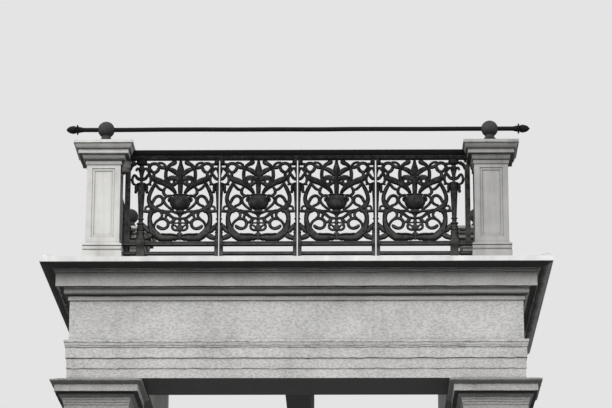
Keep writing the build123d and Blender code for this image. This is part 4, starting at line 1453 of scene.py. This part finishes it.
@dataclass
class Pedestals:
    """The four stone pedestals, and the mortar that patches one of them.

    Profiles are (reach, height), bottom first: the cap's from its widest reach and its
    foot, the block's groove from its own face and the plinth's top, and the fillet above it
    from the shaft's face. The cap's mouldings spread further than the solid's. The patch is
    a ball stretched to its half sizes, its roundness below 1 for a boxy one, and dents are
    (depth, length, seed).
    """

    shop: Workshop
    finishes: tuple[tuple[str, Masonry, float], ...] = (
        ("left", LEFT_STONE, 18.0), ("right", RIGHT_STONE, 2.0),
    )
    cap_reach: float = 224.5
    cap_foot: Line = ((-78, 0), (-78, 29), (-83, 29), (-83, 34))
    cap_bed: Line = ((-78, 34), (-69, 76))
    cap_corona: Line = ((-38, 76), (-38, 113))
    cap_cyma: Line = ((-33, 113), (0, 159))
    cap_edge: float = 185.0
    cap_top_half: float = 66.0
    # Painted shade in bands on the cap, under its corona and at the cyma's foot
    cap_bands: Line = (
        (0, 0.85), (74, 0.85), (80, 0.4), (84, 0.92), (113, 0.9), (117, 0.72), (150, 0.95), (160, 1.0),
        (211, 1.0),
    )
    groove: Line = ((0, -42), (-9, -39), (-9, -33), (-4, -33))
    ogee: Line = ((-5, -27), (8, -4))
    fillet: Line = ((1, -4), (1, 2), (7, 2), (7, 16), (1, 20))
    patch_half: tuple[float, float] = (40.0, 52.0)
    patch_place: tuple[float, float, float] = (22.0, 62.0, -10.0)
    patch_roundness: float = 0.6
    patch_open: float = 0.15
    patch_rows: int = 26
    patch_sides: int = 44
    patch_dents: tuple[tuple[float, float, int], ...] = ((0.14, 42.0, 31), (0.05, 14.0, 32))

    def build(self) -> None:
        """Makes the caps and the plinths anew, dresses the shafts, and patches one cap."""
        for side, finish, spread in self.finishes:
            for row in ("front", "rear"):
                corner = f"{side}_{row}"
                self.cap(corner, finish, spread)
                self.plinth(corner, finish)
                self.shop.dress(f"{corner}_shaft", finish)
        self.patch()

    def cap(self, corner: str, finish: Masonry, spread: float) -> None:
        """Makes a pedestal's cap: a band, a bed, a corona, a cyma and a sloping top.

        Args:
            corner: Which pedestal it crowns.
            finish: What it is made of.
            spread: How much further its mouldings reach than the solid's.
        """
        low, high = box(f"{corner}_cap")
        foot, wide = low[2], self.cap_reach + spread
        (bed_reach, bed_foot), (bed_end, bed_top) = self.cap_bed
        profile = shifted(self.cap_foot, self.cap_reach)
        profile += cyma((self.cap_reach + bed_reach, bed_foot), (wide + bed_end, bed_top), bow=0)
        profile += shifted(self.cap_corona, wide) + cyma(*shifted(self.cap_cyma, wide), bow=1, count=13)
        profile += [(wide, self.cap_edge), (self.cap_top_half, high[2] - foot)]
        # The caps' finish, darkened in bands as painted shade
        worn = replace(finish, name=f"{finish.name}_of_caps", bands=shifted(self.cap_bands, foot))
        wear = {"step": 8.0, "spacing": 15.0, "wear": 1.6, "wander": 1.0, "seed": 13}
        self.block(f"{corner}_cap", self.cap_reach, shifted(profile, up=foot), worn, **wear)

    def plinth(self, corner: str, finish: Masonry) -> None:
        """Makes a pedestal's plinth: a block, a groove, an ogee and a fillet under the shaft.

        Args:
            corner: Which pedestal it carries.
            finish: What it is made of.
        """
        low, high = box(f"{corner}_plinth")
        shaft_low, shaft_high = box(f"{corner}_shaft")
        reach, die = (high[0] - low[0]) / 2, (shaft_high[0] - shaft_low[0]) / 2
        (ogee_out, ogee_foot), (ogee_in, ogee_top) = self.ogee
        profile = [(reach, low[2])] + shifted(self.groove, reach, high[2])
        start, end = (reach + ogee_out, high[2] + ogee_foot), (die + ogee_in, high[2] + ogee_top)
        profile += cyma(start, end, bow=1)
        profile += shifted(self.fillet, die, high[2])
        wear = {"step": 7.0, "spacing": 12.0, "wear": 1.5, "wander": 1.2, "seed": 17}
        self.block(f"{corner}_plinth", reach, profile, finish, **wear)

    def block(self, node: str, reach: float, profile: Line, finish: Masonry, **wear: float) -> None:
        """Makes a square block, cut off at the wall where the pedestal stands against it.

        Args:
            node: The solid that it stands for.
            reach: How far it stands out from its middle.
            profile: Its profile.
            finish: What it is made of.
            wear: The course's steps, wear, wander and seed.
        """
        low, high = box(node)
        back = high[1] if "rear" in node else None
        plan = square((low[0] + high[0]) / 2, low[1] + reach, back)
        course = Course(profile, plan, back is not None, grit=0.3, **wear).surface()
        corner, part = node.rsplit("_", 1)
        self.shop.piece(f"{corner}_moulded_{part}", course, finish, "pedestal_stone", node)

    def patch(self) -> None:
        """Makes the mortar that patches the left front cap's corner, as a hand left it."""
        low, high = box("left_front_shaft")
        across, up = self.patch_half
        turn = np.linspace(self.patch_open, np.pi - self.patch_open, self.patch_rows)
        outline = np.stack([across * np.sin(turn) ** self.patch_roundness, -up * np.cos(turn)], -1)
        lump = lathe(outline, self.patch_sides)
        dents = sum(depth * ripple(lump.points, length, seed) for depth, length, seed in self.patch_dents)
        lump.points *= 1 + dents[:, None]
        x, y, z = self.patch_place
        self.shop.piece(
            "mortar_patch", lump.moved(high[0] + x, low[1] + y, high[2] + z), MORTAR, "pedestal_stone"
        )


@dataclass(frozen=True)
class Studio:
    """The camera at the street's viewing angle, the lamps, the sky and the floor.

    The eye lies across from the middle, before the railing and below its foot. The heading,
    the pitch and the roll are in radians, and the focal length is in shares of the
    picture's width. A lamp is its name, its place, its size and its power.
    """

    eye_across: float = 0.4755
    eye_distance: float = 21.33
    eye_drop: float = 6.099
    heading: float = -0.019
    pitch: float = 0.2917
    roll: float = 0.0029
    focal_share: float = 2724.72 / 612
    sensor: float = 36.0
    farthest: float = 200.0
    lit: tuple[float, float, float] = (0.0, -1.5, 0.2)
    lamps: tuple[tuple[str, tuple[float, float, float], float, float], ...] = (
        ("key", (-7.0, -11.0, 9.0), 7.0, 1150.0),
        ("fill", (5.0, -14.0, 2.0), 8.0, 600.0),
    )
    sky: tuple[tuple[float, str], ...] = ((0.0, "303030"), (0.35, "868686"), (1.0, "E8E8E8"))
    sky_strength: float = 0.75
    background: str = "E4E4E4"
    ground: float = -7.4
    ground_reach: float = 60.0
    ground_colour: str = "C8C8C8"
    ground_roughness: float = 0.9

    def build(self) -> None:
        """Sets the camera, the light and the stage."""
        self.camera()
        self.light()
        self.world()
        self.floor()

    def camera(self) -> None:
        """Sets the camera: its axes come from the heading, the pitch and the roll."""
        h, p, r = self.heading, self.pitch, self.roll
        ahead = np.array([math.sin(h) * math.cos(p), math.cos(h) * math.cos(p), math.sin(p)])
        level = np.array([math.cos(h), -math.sin(h), 0.0])
        above = np.cross(level, ahead)
        right = level * math.cos(r) + above * math.sin(r)
        up = above * math.cos(r) - level * math.sin(r)
        data = bpy.data.cameras.new("street_camera")
        data.sensor_width = self.sensor
        data.lens = self.sensor * self.focal_share
        data.clip_end = self.farthest
        camera = bpy.data.objects.new("street_camera", data)
        low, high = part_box("front_top_rail")
        before = (low[1] + high[1]) / 2 - self.eye_distance
        eye = (self.eye_across, before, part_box("front_panel_1")[0][2] - self.eye_drop)
        axes = np.column_stack([right, up, -ahead, eye])
        camera.matrix_world = Matrix([*axes.tolist(), [0.0, 0.0, 0.0, 1.0]])
        bpy.context.scene.collection.objects.link(camera)
        bpy.context.scene.camera = camera

    def light(self) -> None:
        """Sets a broad lamp high on the left and a weaker one on the right."""
        for name, place, size, power in self.lamps:
            data = bpy.data.lights.new(name, "AREA")
            data.size = size
            data.energy = power
            lamp = bpy.data.objects.new(name, data)
            aim = Vector(self.lit) - Vector(place)
            lamp.matrix_world = Matrix.Translation(place) @ aim.to_track_quat("-Z", "Y").to_matrix().to_4x4()
            bpy.context.scene.collection.objects.link(lamp)

    def world(self) -> None:
        """Sets a sky that is bright above and dim below, and plain behind the object."""
        world = bpy.data.worlds.new("overcast")
        bpy.context.scene.world = world
        world.use_nodes = True
        add = partial(add_node, world.node_tree)
        direction = add("ShaderNodeTexCoord").outputs["Generated"]
        height = add("ShaderNodeSeparateXYZ", Vector=direction).outputs[2]
        share = add("ShaderNodeMapRange", {"From Min": -0.25, "From Max": 0.7}, Value=height)
        sky = add("ShaderNodeValToRGB", {"stops": self.sky}, Fac=share)
        light = add(world.node_tree.nodes["Background"], {"Strength": self.sky_strength}, Color=sky)
        plain = add("ShaderNodeBackground", {"Color": linear(self.background), "Strength": 1.0})
        rays = add("ShaderNodeLightPath").outputs
        either = {"operation": "MAXIMUM"}
        mirrored = add("ShaderNodeMath", either, in0=rays["Is Glossy Ray"], in1=rays["Is Transmission Ray"])
        seen = add("ShaderNodeMath", either, in0=rays["Is Camera Ray"], in1=mirrored)
        mixed = add("ShaderNodeMixShader", in0=seen, in1=light, in2=plain)
        add(world.node_tree.nodes["World Output"], Surface=mixed)

    def floor(self) -> None:
        """Sets the plain floor, at the level of the street."""
        mesh = bpy.data.meshes.new("studio_floor")
        reach = self.ground_reach
        corners = [(-reach, -reach), (reach, -reach), (reach, reach), (-reach, reach)]
        mesh.from_pydata([(x, y, self.ground) for x, y in corners], [], [(0, 1, 2, 3)])
        material, _, _, shader = start_material("studio_floor_paint")
        shader.inputs["Base Color"].default_value = linear(self.ground_colour)
        shader.inputs["Roughness"].default_value = self.ground_roughness
        mesh.materials.append(material)
        floor = bpy.data.objects.new("studio_floor", mesh)
        bpy.context.scene.collection.objects.link(floor)


def main() -> None:
    """Builds the balcony and its studio."""
    logging.basicConfig(level=logging.INFO, format="%(name)s: %(message)s")
    bpy.context.scene.view_settings.view_transform = "Standard"
    shop = Workshop()
    Studio().build()
    Porch(shop).build()
    Pedestals(shop).build()
    Railing(shop).build()
    Ornaments(shop).build()


if __name__ == "__main__":
    main()
